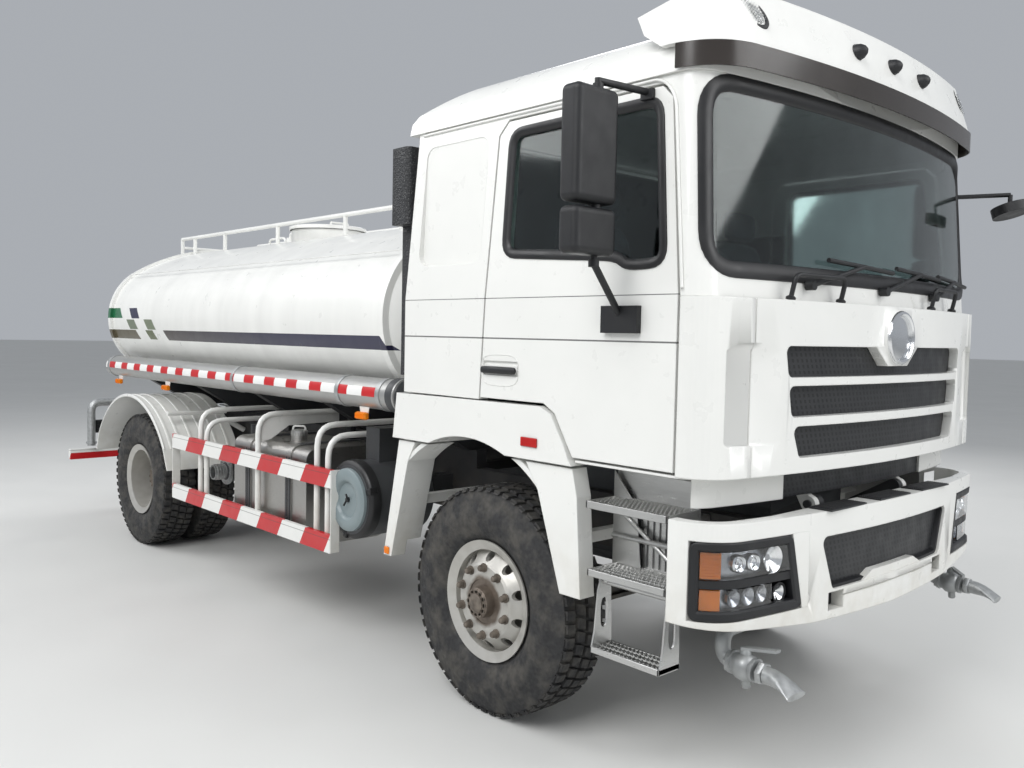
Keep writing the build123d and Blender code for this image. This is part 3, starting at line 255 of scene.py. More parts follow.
def tank_white():
    """Off-white tank with the long navy stripe and slanted marks near its rear."""
    shader = finish("tank_white", WHITE, 0.34, drift=0.03, Coat_Weight=0.35, Coat_Roughness=0.12)
    shader.soft_edges(0.006)
    dark, light = tones(WHITE, 0.93, 1.02)
    streaks = shader.noise(2.0, 6.0, stretch=(3.0, 3.0, 0.35))
    paint = shader.mix(shader.spread(streaks, 0.35, 0.7, 0.0, 1.0), light, dark)
    worn = shader.mix(shader.spread(shader.x, -1.7, 0.2, 0.0, 1.0), (0.055, 0.045, 0.04), NAVY)
    for x_low, x_high, z_low, z_high, tint in TANK_MARKS + ((*STRIPE_X, *STRIPE_Z, worn),):
        rise = shader.minus(shader.z, (z_low + z_high) / 2)
        slant = shader.math("MULTIPLY_ADD", rise, MARK_LEAN, shader.x)
        mask = shader.product(shader.within(slant, x_low, x_high), shader.within(shader.z, z_low, z_high))
        paint = shader.mix(mask, paint, tint)
    shader.colour(paint)
    shader.bump(shader.noise(1.6, 2.0), 0.003)
    return shader.mat


def blocks(shader, base, tint, along, pitch, start, share):
    """Coat with blocks of a second colour every pitch along a coordinate."""
    turns = shader.math("FRACT", shader.math("DIVIDE", shader.minus(along, start), pitch))
    cloud = shader.noise(6.0, 4.0)
    dark, light = tones(base, 0.93, 1.03)
    deep, bright = tones(tint, 0.85, 1.1)
    return shader.mix(shader.math("LESS_THAN", turns, share), shader.mix(cloud, dark, light),
                      shader.mix(cloud, deep, bright))


# Guard boards: middle heights, lean of the red blocks, then their pitch, start and share, and the range above the
# middle of the painted shade line along each board's bead
BOARD_MIDS = (0.605, 0.995)
BLOCK_LEAN = -0.63
BOARD_BLOCKS = (0.574, 0.700, 0.5)
BEAD_SHADE = (0.026, 0.031)


def guard_coat():
    """White boards with slanted red blocks, level with each board's own middle, and a painted shade line along
    each bead.
    """
    shader = finish("guard_coat", WHITE, 0.4, Coat_Weight=0.3)
    shader.soft_edges(0.003)
    shader.bump(shader.noise(30.0), 0.0004)
    upper = shader.math("GREATER_THAN", shader.z, sum(BOARD_MIDS) / 2)
    middle = shader.math("MULTIPLY_ADD", upper, BOARD_MIDS[1] - BOARD_MIDS[0], BOARD_MIDS[0])
    rise = shader.minus(shader.z, middle)
    along = shader.math("MULTIPLY_ADD", rise, BLOCK_LEAN, shader.x)
    coat = blocks(shader, WHITE, RED, along, *BOARD_BLOCKS)
    # A dark line of painted shade along the bead of each board.
    bead_shade = shader.product(shader.within(rise, *BEAD_SHADE), 0.55)
    shader.colour(shader.mix(bead_shade, coat, (0.05, 0.04, 0.04)))
    return shader.mat


# Tape on the hose tubes: range of z, of x, least y, then pitch, start and share of the red blocks
TAPE_Z = (1.507, 1.561)
TAPE_X = (-2.84, 1.438)
TAPE_Y = 1.14
TAPE_BLOCKS = (0.29, 1.304, 0.47)


def tube_coat():
    """Dull aluminium tube with red and white tape along its outer side."""
    shader = finish("tube_coat", (0.42, 0.42, 0.41), 0.38, metal=0.7, drift=0.1)
    bands = blocks(shader, (0.82, 0.82, 0.80), RED, shader.x, *TAPE_BLOCKS)
    taped = shader.product(shader.within(shader.z, *TAPE_Z), shader.within(shader.x, *TAPE_X),
                           shader.math("GREATER_THAN", shader.size(shader.y), TAPE_Y))
    streaks = shader.noise(3.0, 5.0, stretch=(0.4, 6.0, 6.0))
    metal = shader.mix(streaks, (0.30, 0.30, 0.29), (0.52, 0.52, 0.51))
    shader.colour(shader.mix(taped, metal, bands))
    shader.feed(shader.bsdf.inputs["Metallic"], shader.product(shader.minus(1.0, taped), 0.7))
    return shader.mat


def slotted_black(name, pitch, lean, share):
    """Black moulding with rows of small slanted holes, seen from the front, the holes painted near black as
    painted shade.
    """
    shader = finish(name, (0.014, 0.015, 0.017), 0.45, drift=0.2)
    slant = shader.math("MULTIPLY_ADD", shader.z, lean, shader.y)
    across = shader.math("FRACT", shader.math("DIVIDE", slant, pitch))
    rows = shader.math("FRACT", shader.math("DIVIDE", shader.z, pitch * 0.8))
    hole = shader.product(shader.within(across, (1 - share) / 2, (1 + share) / 2), shader.within(rows, 0.2, 0.8))
    # The holes are painted darker than the moulding: painted shade where the grille opens into the dark behind it.
    dark, light = (0.003, 0.003, 0.004), (0.018, 0.019, 0.021)
    shader.colour(shader.mix(hole, light, dark))
    shader.bump(hole, 0.004, -1.0)
    return shader.mat


def speckled():
    """Black perforated cover with small pale points."""
    shader = finish("perforated_cover", (0.020, 0.021, 0.023), 0.55, drift=0.2)
    points = shader.math("LESS_THAN", shader.cells(95.0), 0.16)
    shader.colour(shader.mix(points, (0.020, 0.021, 0.023), (0.22, 0.22, 0.21)))
    shader.bump(shader.cells(95.0), 0.003)
    return shader.mat


HUB_R = 0.128


def wheel_silver():
    """Silver rims, darker and rustier towards the hubs."""
    shader = finish("rim_silver", (0.50, 0.49, 0.46), 0.42, metal=0.55, drift=0.12, scale=14.0)
    x = shader.math("MINIMUM", *(shader.size(shader.minus(shader.x, axle)) for axle in (FRONT_X, REAR_X)))
    z = shader.minus(shader.z, AXLE_Z)
    radius = shader.math("SQRT", shader.math("ADD", shader.product(x, x), shader.product(z, z)))
    rust = shader.mix(shader.noise(26.0, 5.0), (0.085, 0.066, 0.052), (0.24, 0.20, 0.165))
    inner = shader.spread(shader.math("ADD", radius, shader.product(shader.noise(18.0), 0.03)),
                          HUB_R + 0.02, HUB_R, 0.0, 1.0)
    silver = shader.mix(shader.noise(14.0, 5.0), (0.40, 0.385, 0.35), (0.60, 0.59, 0.56))
    shader.colour(shader.mix(inner, silver, rust))
    return shader.mat


def black_plastic():
    shader = finish("black_plastic", (0.009, 0.0095, 0.011), 0.5, drift=0.2)
    shader.soft_edges(0.004)
    shader.bump(shader.noise(900.0, 2.0), 0.0004)
    return shader.mat


def chassis_black():
    shader = finish("chassis_black", (0.03, 0.031, 0.034), 0.5, drift=0.2)
    road_dirt(shader, (0.03, 0.031, 0.034), (0.12, 0.105, 0.08), 0.3, 1.2)
    return shader.mat


def rubber():
    shader = finish("tyre_rubber", (0.022, 0.022, 0.023), 0.72, drift=0.25, scale=12.0)
    dusty = shader.spread(shader.noise(14.0, 6.0), 0.42, 0.68, 0.0, 0.55)
    shader.colour(shader.mix(dusty, (0.020, 0.020, 0.021), (0.10, 0.092, 0.078)))
    shader.bump(shader.noise(220.0, 3.0), 0.0006)
    return shader.mat


def bare_metal(name, base, rough, brushed=(1.0, 1.0, 14.0)):
    shader = finish(name, base, rough, metal=1.0)
    shader.rough(shader.spread(shader.noise(20.0, 4.0, stretch=brushed), 0.3, 0.7, rough * 0.7, rough * 1.35))
    shader.bump(shader.noise(60.0, 2.0, stretch=brushed), 0.0003)
    return shader.mat


def glass(name, tint, rough=0.03, strength=1.0):
    shader = finish(name, tint, rough, drift=0.1, Transmission_Weight=strength, IOR=1.45)
    shader.rough(shader.spread(shader.noise(3.0), 0.3, 0.7, rough, rough * 2.5))
    return shader.mat


def woven():
    shader = finish("seat_fabric", (0.06, 0.065, 0.08), 0.85, drift=0.2, Sheen_Weight=0.3)
    weave = shader.nodes.new("ShaderNodeTexWave")
    weave.inputs["Scale"].default_value = 90.0
    shader.links.new(shader.place, weave.inputs["Vector"])
    shader.bump(weave.outputs[1], 0.001)
    return shader.mat


MATS = {
    "cab": cab_white(),
    "tank": tank_white(),
    "chassis": chassis_black(),
    "plastic": black_plastic(),
    "tyre": rubber(),
    "rim": wheel_silver(),
    "hub": finish("hub_rust", (0.17, 0.145, 0.12), 0.6, metal=0.5, drift=0.4, scale=30.0).mat,
    "steel": bare_metal("worked_steel", (0.34, 0.33, 0.31), 0.42),
    "spring": finish("spring_steel", (0.05, 0.05, 0.052), 0.6, drift=0.3, scale=10.0).mat,
    "cast": finish("cast_block", (0.10, 0.105, 0.11), 0.6, metal=0.4, drift=0.3, grain=0.002, grain_scale=120).mat,
    "alloy": bare_metal("alloy", (0.55, 0.55, 0.54), 0.38),
    "fuel": bare_metal("fuel_tank_metal", (0.46, 0.45, 0.43), 0.36),
    "galvanised": finish("galvanised", (0.42, 0.43, 0.43), 0.45, metal=0.8, drift=0.15, scale=40.0).mat,
    "drum": finish("drum_black", (0.045, 0.047, 0.05), 0.42, drift=0.2).mat,
    "trim": finish("trim_grey", (0.11, 0.115, 0.12), 0.6, drift=0.1, grain=0.0005, grain_scale=700).mat,
    "fabric": woven(),
    "glass": glass("window_glass", (0.42, 0.50, 0.49)),
    "smoked": glass("smoked_strip", (0.045, 0.038, 0.034), 0.10, 0.25),
    "lens": glass("lamp_lens", (0.96, 0.97, 0.98), 0.01),
    "amber": glass("amber_lens", (0.92, 0.25, 0.008), 0.12, 0.2),
    "red": glass("red_lens", (0.60, 0.012, 0.010), 0.12, 0.25),
    "seal": finish("rubber_seal", (0.010, 0.010, 0.011), 0.42, drift=0.2, grain=0.0003).mat,
    "chrome": bare_metal("chrome", (0.80, 0.81, 0.82), 0.07),
    "reflector": bare_metal("reflector", (0.34, 0.35, 0.37), 0.16),
    "mirror": bare_metal("mirror_face", (0.86, 0.88, 0.89), 0.02),
    "mesh": slotted_black("grille_mesh", 0.030, 0.35, 0.42),
    "speckle": speckled(),
    "cover": finish("cleaner_cover", (0.20, 0.245, 0.255), 0.42, drift=0.08, Coat_Weight=0.2).mat,
    "strut": finish("strut_grey", (0.34, 0.35, 0.35), 0.45, metal=0.6, drift=0.15, scale=20.0).mat,
    "guard": guard_coat(),
    "tube": tube_coat(),
}

# CAD nodes by material
NODE_MATS = {
    "cab": ("cab_shell", "cab_roof", "front_panel", "corner_panels", "sun_visor", "front_bumper", "cab_fenders",
            "fender_legs", "door_right", "door_left", "rear_fenders", "guard_posts"),
    "tank": ("tank_body", "tank_fittings", "manhole_lid"),
    "chassis": ("chassis_frame", "cross_members", "front_axle", "rear_axle", "tank_sills", "tank_saddles",
                "battery_carrier"),
    "plastic": ("wipers", "kerb_mirror", "mirrors_right", "mirrors_left"),
    "mesh": ("front_grille", "bumper_grille"),
    "speckle": ("snorkel",),
    "tyre": ("front_tyre_right", "front_tyre_left", "rear_tyres_right", "rear_tyres_left"),
    "rim": ("front_rim_right", "front_rim_left", "rear_rims_right", "rear_rims_left"),
    "steel": ("knuckle_right", "knuckle_left", "tie_rod", "drive_shaft"),
    "spring": ("leaf_springs",),
    "cast": ("engine_block",),
    "alloy": ("entry_steps",),
    "fuel": ("fuel_tank",),
    "galvanised": ("silencer", "spray_gear"),
    "drum": ("air_cleaner",),
    "trim": ("dashboard",),
    "fabric": ("seats",),
    "glass": ("windscreen", "door_glass_right", "door_glass_left"),
    "smoked": ("visor_strip",),
    "lens": ("lamps",),
    "guard": ("guard_boards",),
    "tube": ("hose_tubes",),
}


def dress_nodes():
    for key, names in NODE_MATS.items():
        for name in names:
            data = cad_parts[name].data
            data.materials.clear()
            data.materials.append(MATS[key])


# Mesh pieces

class Mesh:
    """Vertices and faces gathered for one piece."""

    def __init__(self):
        self.verts = []
        self.faces = []

    def add(self, verts, faces):
        base = len(self.verts)
        self.verts += [tuple(v) for v in verts]
        self.faces += [tuple(i + base for i in face) for face in faces]

    def skinned(self, rings, closed=False):
        """Skin over rings of equally many points, joined end to end or capped at both ends."""
        count = len(rings[0])
        total = len(rings)
        faces = []
        for s in range(total if closed else total - 1):
            this, following = s * count, (s + 1) % total * count
            for i in range(count):
                beside = (i + 1) % count
                faces.append((this + i, this + beside, following + beside, following + i))
        if not closed:
            faces += [tuple(reversed(range(count))), tuple(range((total - 1) * count, total * count))]
        self.add([v for ring in rings for v in ring], faces)

    def lathe(self, section, place, steps):
        """Closed section of (along, radius) points turned about the local z axis of a placing matrix."""
        self.skinned([[place @ Vector((r * math.cos(t), r * math.sin(t), a)) for a, r in section]
                      for t in turns(steps)], closed=True)

    def prism(self, outline, low, high, place=Matrix(), edge=0.0):
        """Outline of (x, y) points between two heights of a placing matrix, its upper edge drawn in."""
        levels = [(low, 0.0), (high - edge, 0.0), (high, edge)] if edge else [(low, 0.0), (high, 0.0)]
        corners = list(zip(outline, insides(outline)))
        self.skinned([[place @ Vector((x + n.x * inset, y + n.y * inset, h)) for (x, y), n in corners]
                      for h, inset in levels])

    def tube(self, points, radius, cut=0.0, steps=10):
        """Round tube through points, its corners turned over a cut length."""
        path = turned(points, cut) if cut else [Vector(p) for p in points]
        side = (path[1] - path[0]).orthogonal()
        rings = []
        for i, spot in enumerate(path):
            ahead = (path[min(i + 1, len(path) - 1)] - path[max(i - 1, 0)]).normalized()
            side = (side - ahead * side.dot(ahead)).normalized()
            up = ahead.cross(side)
            rings.append([spot + radius * (side * math.cos(t) + up * math.sin(t)) for t in turns(steps)])
        self.skinned(rings)

    def block(self, low, high, edge=0.003, place=Matrix()):
        """Block between two corners, its edges chamfered."""
        rings = []
        for z, inset in ((low[2], edge), (low[2] + edge, 0), (high[2] - edge, 0), (high[2], edge)):
            x0, x1, y0, y1 = low[0] + inset, high[0] - inset, low[1] + inset, high[1] - inset
            rings.append([place @ Vector((x, y, z)) for x, y in (
                (x0 + edge, y0), (x1 - edge, y0), (x1, y0 + edge), (x1, y1 - edge),
                (x1 - edge, y1), (x0 + edge, y1), (x0, y1 - edge), (x0, y0 + edge))])
        self.skinned(rings)

    def box(self, way, x_span, y_span, z_span, edge=0.003):
        """Block over a range of x, of distance from the vehicle's middle, and of z."""
        y0, y1 = sorted(way * y for y in y_span)
        self.block((x_span[0], y0, z_span[0]), (x_span[1], y1, z_span[1]), edge)

    def ring(self, place, span, radii, steps=6):
        """Ring, or disc, over a range along the local z axis of a placing matrix, between two radii."""
        (low, high), (inner, outer) = span, radii
        self.lathe(((low, inner), (low, outer), (high, outer), (high, inner)), place, steps)

    def moulding(self, skin, loop, section):
        """Bead along a closed loop of (u, z) points on a skin. Section: distance inside the loop, off it."""
        self.skinned([[skin(*(spot + n * a), off) for a, off in section]
                      for spot, n in zip(loop, insides(loop))], closed=True)

    def patch(self, skin, columns, low, high):
        """Patch of a skin between two distances off it. Columns: u, low z, high z."""
        self.skinned([[skin(u, z0, low), skin(u, z1, low), skin(u, z1, high), skin(u, z0, high)]
                      for u, z0, z1 in columns])

    def data(self, name):
        """Blender mesh with its faces turned outward."""
        data = bpy.data.meshes.new(name)
        data.from_pydata(self.verts, [], self.faces)
        data.validate()
        work = bmesh.new()
        work.from_mesh(data)
        bmesh.ops.recalc_face_normals(work, faces=work.faces)
        work.to_mesh(data)
        work.free()
        return data

    def piece(self, name, mat, body="chassis", smooth=40, node=None):
        """Object of the mesh, riding on a body, which may stand for a CAD node."""
        data = self.data(name)
        data.materials.append(MATS[mat])
        data.shade_smooth()
        data.set_sharp_from_angle(angle=math.radians(smooth))
        obj = bpy.data.objects.new(name, data)
        bpy.context.scene.collection.objects.link(obj)
        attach(obj, body)
        if node:
            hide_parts(node)
        return obj


def turns(steps):
    return [2 * math.pi * step / steps for step in range(steps)]


def turned(points, cut, closed=False, steps=5):
    """Points with each corner turned over a cut length on both its sides."""
    points = [Vector(p) for p in points]
    count = len(points)
    line = [] if closed else [points[0]]
    for i in range(0 if closed else 1, count if closed else count - 1):
        corner = points[i]
        ends = []
        for beside in (points[i - 1], points[(i + 1) % count]):
            run = beside - corner
            ends.append(corner + run.normalized() * min(cut, run.length * 0.49))
        for step in range(steps + 1):
            t = step / steps
            line.append(ends[0] * (1 - t)**2 + corner * (2 * t * (1 - t)) + ends[1] * t**2)
    return line if closed else line + [points[-1]]


def insides(loop):
    """Direction inward at each point of a closed flat loop."""
    loop = [Vector(p) for p in loop]
    after = loop[1:] + loop[:1]
    sign = math.copysign(1, sum(a.x * b.y - a.y * b.x for a, b in zip(loop, after)))
    inward = []
    for before, beyond in zip(loop[-1:] + loop[:-1], after):
        along = (beyond - before).normalized()
        inward.append(Vector((-along.y, along.x)) * sign)
    return inward


def facing(point, out):
    """Placing matrix whose local z points along out."""
    out = Vector(out).normalized()
    side = out.orthogonal().normalized()
    up = out.cross(side)
    return Matrix.Translation(point) @ Matrix((side, up, out)).transposed().to_4x4()


# Tyres with tread: half a carcass as (along, radius), and the pattern's pitches round the wheel
TREAD_HALF_W = 0.128
GROOVE_R = TYRE_R - 0.017
PITCHES = 56
CARCASS = ((-0.104, 0.262), (-0.110, 0.300), (-0.128, 0.318), (-0.131, 0.322), (-0.150, 0.362),
           (-0.1565, 0.410), (-0.1530, 0.450), (-0.1500, 0.455), (-0.1420, 0.495), (-0.131, 0.525),
           (-0.126, 0.5405), (-0.110, GROOVE_R))
# Blocks of one pitch: range along the axle, start and length of the turn in pitches, skew, radius of the top
BLOCKS = (
    (-TREAD_HALF_W, -0.070, 0.0, 0.66, 0.10, TYRE_R - 0.004),
    (0.070, TREAD_HALF_W, 0.5, 0.66, 0.10, TYRE_R - 0.004),
    (-0.062, -0.006, 0.2, 0.75, 0.22, TYRE_R),
    (0.006, 0.062, 0.65, 0.75, 0.22, TYRE_R),
    (-0.137, 0.004 - TREAD_HALF_W, 0.05, 0.55, 0.0, 0.548),
    (TREAD_HALF_W - 0.004, 0.137, 0.60, 0.55, 0.0, 0.548),
)


def wedge(mesh, place, a_low, a_high, start, length, skew, r_top):
    """Tread block over a turn about the axle, skewed, standing from the groove floor to r_top."""
    verts = []
    for r, inset in ((GROOVE_R - 0.004, 0.0), (r_top, 0.05)):
        for a, shift in ((a_low, 0), (a_high, skew)):
            edge = 0.004 * (1 if a == a_low else -1) * (inset > 0)
            for turn in (start + inset * 0.1, start + length - inset * 0.1):
                t = 2 * math.pi * (turn + shift) / PITCHES
                verts.append(place @ Vector((r * math.cos(t), r * math.sin(t), a + edge)))
    mesh.add(verts, ((0, 1, 3, 2), (4, 6, 7, 5), (0, 4, 5, 1), (2, 3, 7, 6), (0, 2, 6, 4), (1, 5, 7, 3)))


def tread_tyre(mesh, x, y, way):
    """Carcass with raised sidewall rings, two rows of centre blocks, and lugs down both shoulders."""
    place = facing((x, y, AXLE_Z), (0, way, 0))
    mesh.lathe(list(CARCASS) + [(-a, r) for a, r in reversed(CARCASS)], place, 96)
    for pitch in range(PITCHES):
        for a_low, a_high, start, length, skew, r_top in BLOCKS:
            wedge(mesh, place, a_low, a_high, pitch + start, length, skew, r_top)


def tyres():
    for side, way in SIDES.items():
        mesh = Mesh()
        tread_tyre(mesh, FRONT_X, way * FRONT_TYRE_Y, way)
        mesh.piece(f"tread_front_{side}", "tyre", f"front_wheel_{side}", node=f"front_tyre_{side}")
        mesh = Mesh()
        for y in TWIN_YS:
            tread_tyre(mesh, REAR_X, way * y, way)
        mesh.piece(f"tread_rear_{side}", "tyre", f"rear_wheels_{side}", node=f"rear_tyres_{side}")


# Wheel faces, with sections as (along, radius)
NUT = ((0, 0.023), (0.006, 0.023), (0.006, 0.0165), (0.026, 0.0165), (0.034, 0.0125), (0.037, 0.004),
       (0.037, 0.0), (0, 0.0))
NUTS = 10
HUB_CAP = ((0.004, 0.0), (0.016, 0.0), (0.013, 0.030), (0.004, 0.046), (0.0, 0.046), (0.0, 0.0))
HUB_BOLTS = 12
# Columns: end, name of the body, x, y of the disc, y of the hub's flange, radius of the circle of its bolts
WHEELS = (
    ("front", "front_wheel", FRONT_X, DISC_FACE_Y, FRONT_TYRE_Y + 0.182, 0.060),
    ("rear", "rear_wheels", REAR_X, TWIN_DISC_Y, 1.004, 0.088),
)


def around(x, y, radius, count, start, way):
    """Placing matrices facing outward on a circle about a wheel's axle, from a start in steps of the circle."""
    for i in range(count):
        t = 2 * math.pi * (i + start) / count
        yield facing((x + radius * math.cos(t), way * y, AXLE_Z + radius * math.sin(t)), (0, way, 0))


def wheel_nuts():
    """Domed nuts on each wheel's disc."""
    for side, way in SIDES.items():
        for end, body, x, y, _, _ in WHEELS:
            mesh = Mesh()
            for place in around(x, y, NUT_CIRCLE_R, NUTS, 0.5, way):
                mesh.lathe(NUT, place, 12)
            mesh.piece(f"nuts_{end}_{side}", "hub", f"{body}_{side}", 35)


def hubs():
    """Bolts on each hub's flange, and a cap on each front hub."""
    for side, way in SIDES.items():
        for end, body, x, _, y, radius in WHEELS:
            mesh = Mesh()
            for place in around(x, y, radius, HUB_BOLTS, 0, way):
                mesh.ring(place, (0, 0.008), (0, 0.011))
            if end == "front":
                mesh.lathe(HUB_CAP, facing((x, way * (FRONT_TYRE_Y + 0.190), AXLE_Z), (0, way, 0)), 32)
            mesh.piece(f"hub_bolts_{end}_{side}", "hub", f"{body}_{side}", 35)


# Skins: outer faces of the cab and the bumper, from (u, z, off) to a point. u is the distance along a front
# from its middle, or x on a flank. Fronts: x at the middle, half width, corner radius
BOW_R = 5.8
HEADER_RISE = 0.852
CAB_HALF_W = 1.245
TUMBLEHOME = 0.040
SCREEN_LEAN = 0.064
PANEL_FRONT = (3.812, CAB_HALF_W, 0.180)
BUMPER_FRONT = (3.845, CAB_HALF_W, 0.205)


def front_point(run, z, front, off):
    """Point of a bowed front at a distance along it from the middle, moved off outward."""
    x_front, half_w, round_r = front
    bow = BOW_R + half_w**2 / (4 * BOW_R)
    bow_end = math.asin((half_w - round_r) / (bow - round_r))
    beyond = abs(run) - bow * bow_end
    centre_x, centre_y, radius, turn, rest = x_front - bow, 0.0, bow, abs(run) / bow, 0.0
    if beyond > 0:
        centre_x += (bow - round_r) * math.cos(bow_end)
        centre_y = half_w - round_r
        radius = round_r
        turn = min(bow_end + beyond / round_r, math.pi / 2)
        rest = max(0.0, beyond - round_r * (math.pi / 2 - bow_end))
    return Vector((centre_x + (radius + off) * math.cos(turn) - rest,
                   math.copysign(centre_y + (radius + off) * math.sin(turn), run), z))


def panel_skin(run, z, off):
    return front_point(run, z, PANEL_FRONT, off)


def bumper_skin(run, z, off):
    return front_point(run, z, BUMPER_FRONT, off)


def screen_skin(run, z, off):
    share = (z - WAIST_Z) / HEADER_RISE
    return front_point(run, z, (3.751 - share * SCREEN_LEAN, CAB_HALF_W - share * TUMBLEHOME, 0.120), off)


def flank_skin(way):
    def skin(x, z, off):
        lean = max(0.0, (z - WAIST_Z) / HEADER_RISE) * TUMBLEHOME
        return Vector((x, way * (CAB_HALF_W - lean + off), z))
    return skin


def columns(runs, low, high):
    """Columns of a patch whose edges are level."""
    return [(run, low, high) for run in runs]


# Cab: openings on their skins, and the section of the rubber round them
SCREEN_LOOP = ((-1.208, 2.128), (1.208, 2.128), (1.182, 2.868), (-1.182, 2.868))
DOOR_WINDOW = ((2.519, 2.236), (3.205, 2.192), (3.260, 2.150), (3.454, 2.157), (3.391, 2.806), (2.530, 2.801))
SEAL = ((-0.016, -0.002), (-0.014, 0.005), (0.000, 0.009), (0.022, 0.004), (0.030, -0.008), (0.000, -0.012))
SCREEN_SEAL = tuple((a * 1.5, off) for a, off in SEAL)


def seals():
    """Rubber round the windscreen and the door windows."""
    mesh = Mesh()
    mesh.moulding(screen_skin, dense(turned(SCREEN_LOOP, 0.155, closed=True, steps=8)), SCREEN_SEAL)
    mesh.piece("screen_seal", "seal", "cab", 50)
    for side, way in SIDES.items():
        mesh = Mesh()
        mesh.moulding(flank_skin(way), turned(DOOR_WINDOW, 0.075, closed=True), SEAL)
        mesh.piece(f"window_seal_{side}", "seal", f"door_{side}", 50)


# Gutter, as (x, z, distance off the flank)
GUTTER = ((1.86, 2.878, 0.004), (3.400, 2.878, 0.004), (3.466, 2.80, 0.004), (3.545, 2.06, 0.003))
# Door handle, as (x, z) on the flank. Its sections: distance from the middle, share of its full size
HANDLE_AT = (2.515, 1.704)
RECESS_HALF = (0.131, 0.075)
RECESS_RIM = ((0, -0.002), (0.001, 0.002), (0.004, 0.0022), (0.007, -0.002))
HANDLE = ((-0.119, 0.5), (-0.114, 0.9), (-0.09, 1.0), (0.09, 1.0), (0.114, 0.9), (0.119, 0.5))
HANDLE_OFF = 0.012
HANDLE_HALF = (0.017, 0.010)


def oval(centre, half, turn, power):
    """Point of a squared oval, at a turn about its centre."""
    return Vector([middle + reach * math.copysign(abs(part)**power, part)
                   for middle, reach, part in zip(centre, half, (math.cos(turn), math.sin(turn)))])


def cab_flanks():
    """Rain gutters, and the door handles with the rims of their recesses."""
    for side, way in SIDES.items():
        skin = flank_skin(way)
        mesh = Mesh()
        mesh.tube([skin(*spot) for spot in GUTTER], 0.007, cut=0.05, steps=8)
        mesh.piece(f"gutter_{side}", "cab", "cab", 60)
        mesh = Mesh()
        mesh.moulding(skin, [oval(HANDLE_AT, RECESS_HALF, t, 0.6) for t in turns(48)], RECESS_RIM)
        mesh.piece(f"handle_rim_{side}", "cab", f"door_{side}", 50)
        mesh = Mesh()
        x, z = HANDLE_AT
        (half_z, half_off), off = HANDLE_HALF, HANDLE_OFF
        mesh.skinned([[skin(x + a, z + share * math.cos(t) * half_z, off + share * math.sin(t) * half_off)
                       for t in turns(12)] for a, share in HANDLE])
        mesh.piece(f"door_handle_{side}", "plastic", f"door_{side}", 50)


# Hollow in each front corner, (x, y) in plan, and its range of z
HOLLOW_PLAN = ((3.668, 1.150), (3.752, 0.845), (3.900, 0.845), (3.900, 1.150))
HOLLOW_Z = (1.460, 1.857)
# Bumper face: valance line, and plugs as run, z, radius
VALANCE_Z = (0.796, 0.803)
PLUGS = ((0.762, 1.030, 0.020), (0.700, 0.822, 0.024))


def carved(node, cutters, mat, body):
    """Copy of a CAD node with cutters taken out of it, which stands for the node."""
    obj = bpy.data.objects.new(f"{node}_carved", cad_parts[node].data.copy())
    bpy.context.scene.collection.objects.link(obj)
    work = bmesh.new()
    work.from_mesh(obj.data)
    bmesh.ops.remove_doubles(work, verts=work.verts, dist=1e-6)
    work.to_mesh(obj.data)
    work.free()
    tools = []
    for index, cutter in enumerate(cutters):
        data = cutter.data(f"{node}_cutter_{index}")
        tool = bpy.data.objects.new(data.name, data)
        bpy.context.scene.collection.objects.link(tool)
        cut = obj.modifiers.new(data.name, "BOOLEAN")
        cut.operation = "DIFFERENCE"
        cut.solver = "EXACT"
        cut.object = tool
        tools.append(tool)
    ready = obj.evaluated_get(bpy.context.evaluated_depsgraph_get())
    shape = bpy.data.meshes.new_from_object(ready)
    obj.modifiers.clear()
    obj.data = shape
    for tool in tools:
        bpy.data.objects.remove(tool)
    shape.materials.clear()
    shape.materials.append(MATS[mat])
    shape.shade_smooth()
    shape.set_sharp_from_angle(angle=math.radians(32))
    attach(obj, body)
    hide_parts(node)


def fronts():
    """Front and corner panels with their hollows, bumper with its valance line and its round plugs."""
    hollows = []
    for way in SIDES.values():
        cutter = Mesh()
        plan = [(x, way * y) for x, y in HOLLOW_PLAN]
        low, high = HOLLOW_Z
        levels = ((low, 0.012), (low + 0.012, 0.0), (high - 0.03, 0.0), (high, 0.05))
        cutter.skinned([[Vector((x + inset * 0.4, y - way * inset * (i in (0, 3)), z))
                         for i, (x, y) in enumerate(plan)] for z, inset in levels])
        hollows.append(cutter)
    carved("front_panel", hollows, "cab", "cab")
    carved("corner_panels", hollows, "cab", "cab")
    groove = Mesh()
    groove.patch(bumper_skin, columns((-0.44, -0.2, 0, 0.2, 0.44), *VALANCE_Z), -0.010, 0.03)
    cutters = [groove]
    for way in SIDES.values():
        for run, z, radius in PLUGS:
            plug = Mesh()
            plug.ring(facing(bumper_skin(way * run, z, 0), (1, way * run / BOW_R, 0)), (-0.006, 0.02),
                      (radius - 0.003, radius), 32)
            cutters.append(plug)
    carved("front_bumper", cutters, "cab", "chassis")


# Badge, with sections as (along, radius)
BADGE_AT = (3.812, 0.0, 1.891)
RING = ((0.010, 0.098), (0.024, 0.100), (0.030, 0.108), (0.028, 0.117), (0.020, 0.122), (0.008, 0.122))
DISC = ((0.010, 0.0), (0.021, 0.0), (0.020, 0.05), (0.017, 0.085), (0.013, 0.098), (0.010, 0.098))


def badge():
    """Plain round badge."""
    mesh = Mesh()
    place = facing(BADGE_AT, (1, 0, 0))
    mesh.lathe(RING, place, 64)
    mesh.lathe(DISC, place, 64)
    mesh.piece("badge", "chrome", "cab", 35)


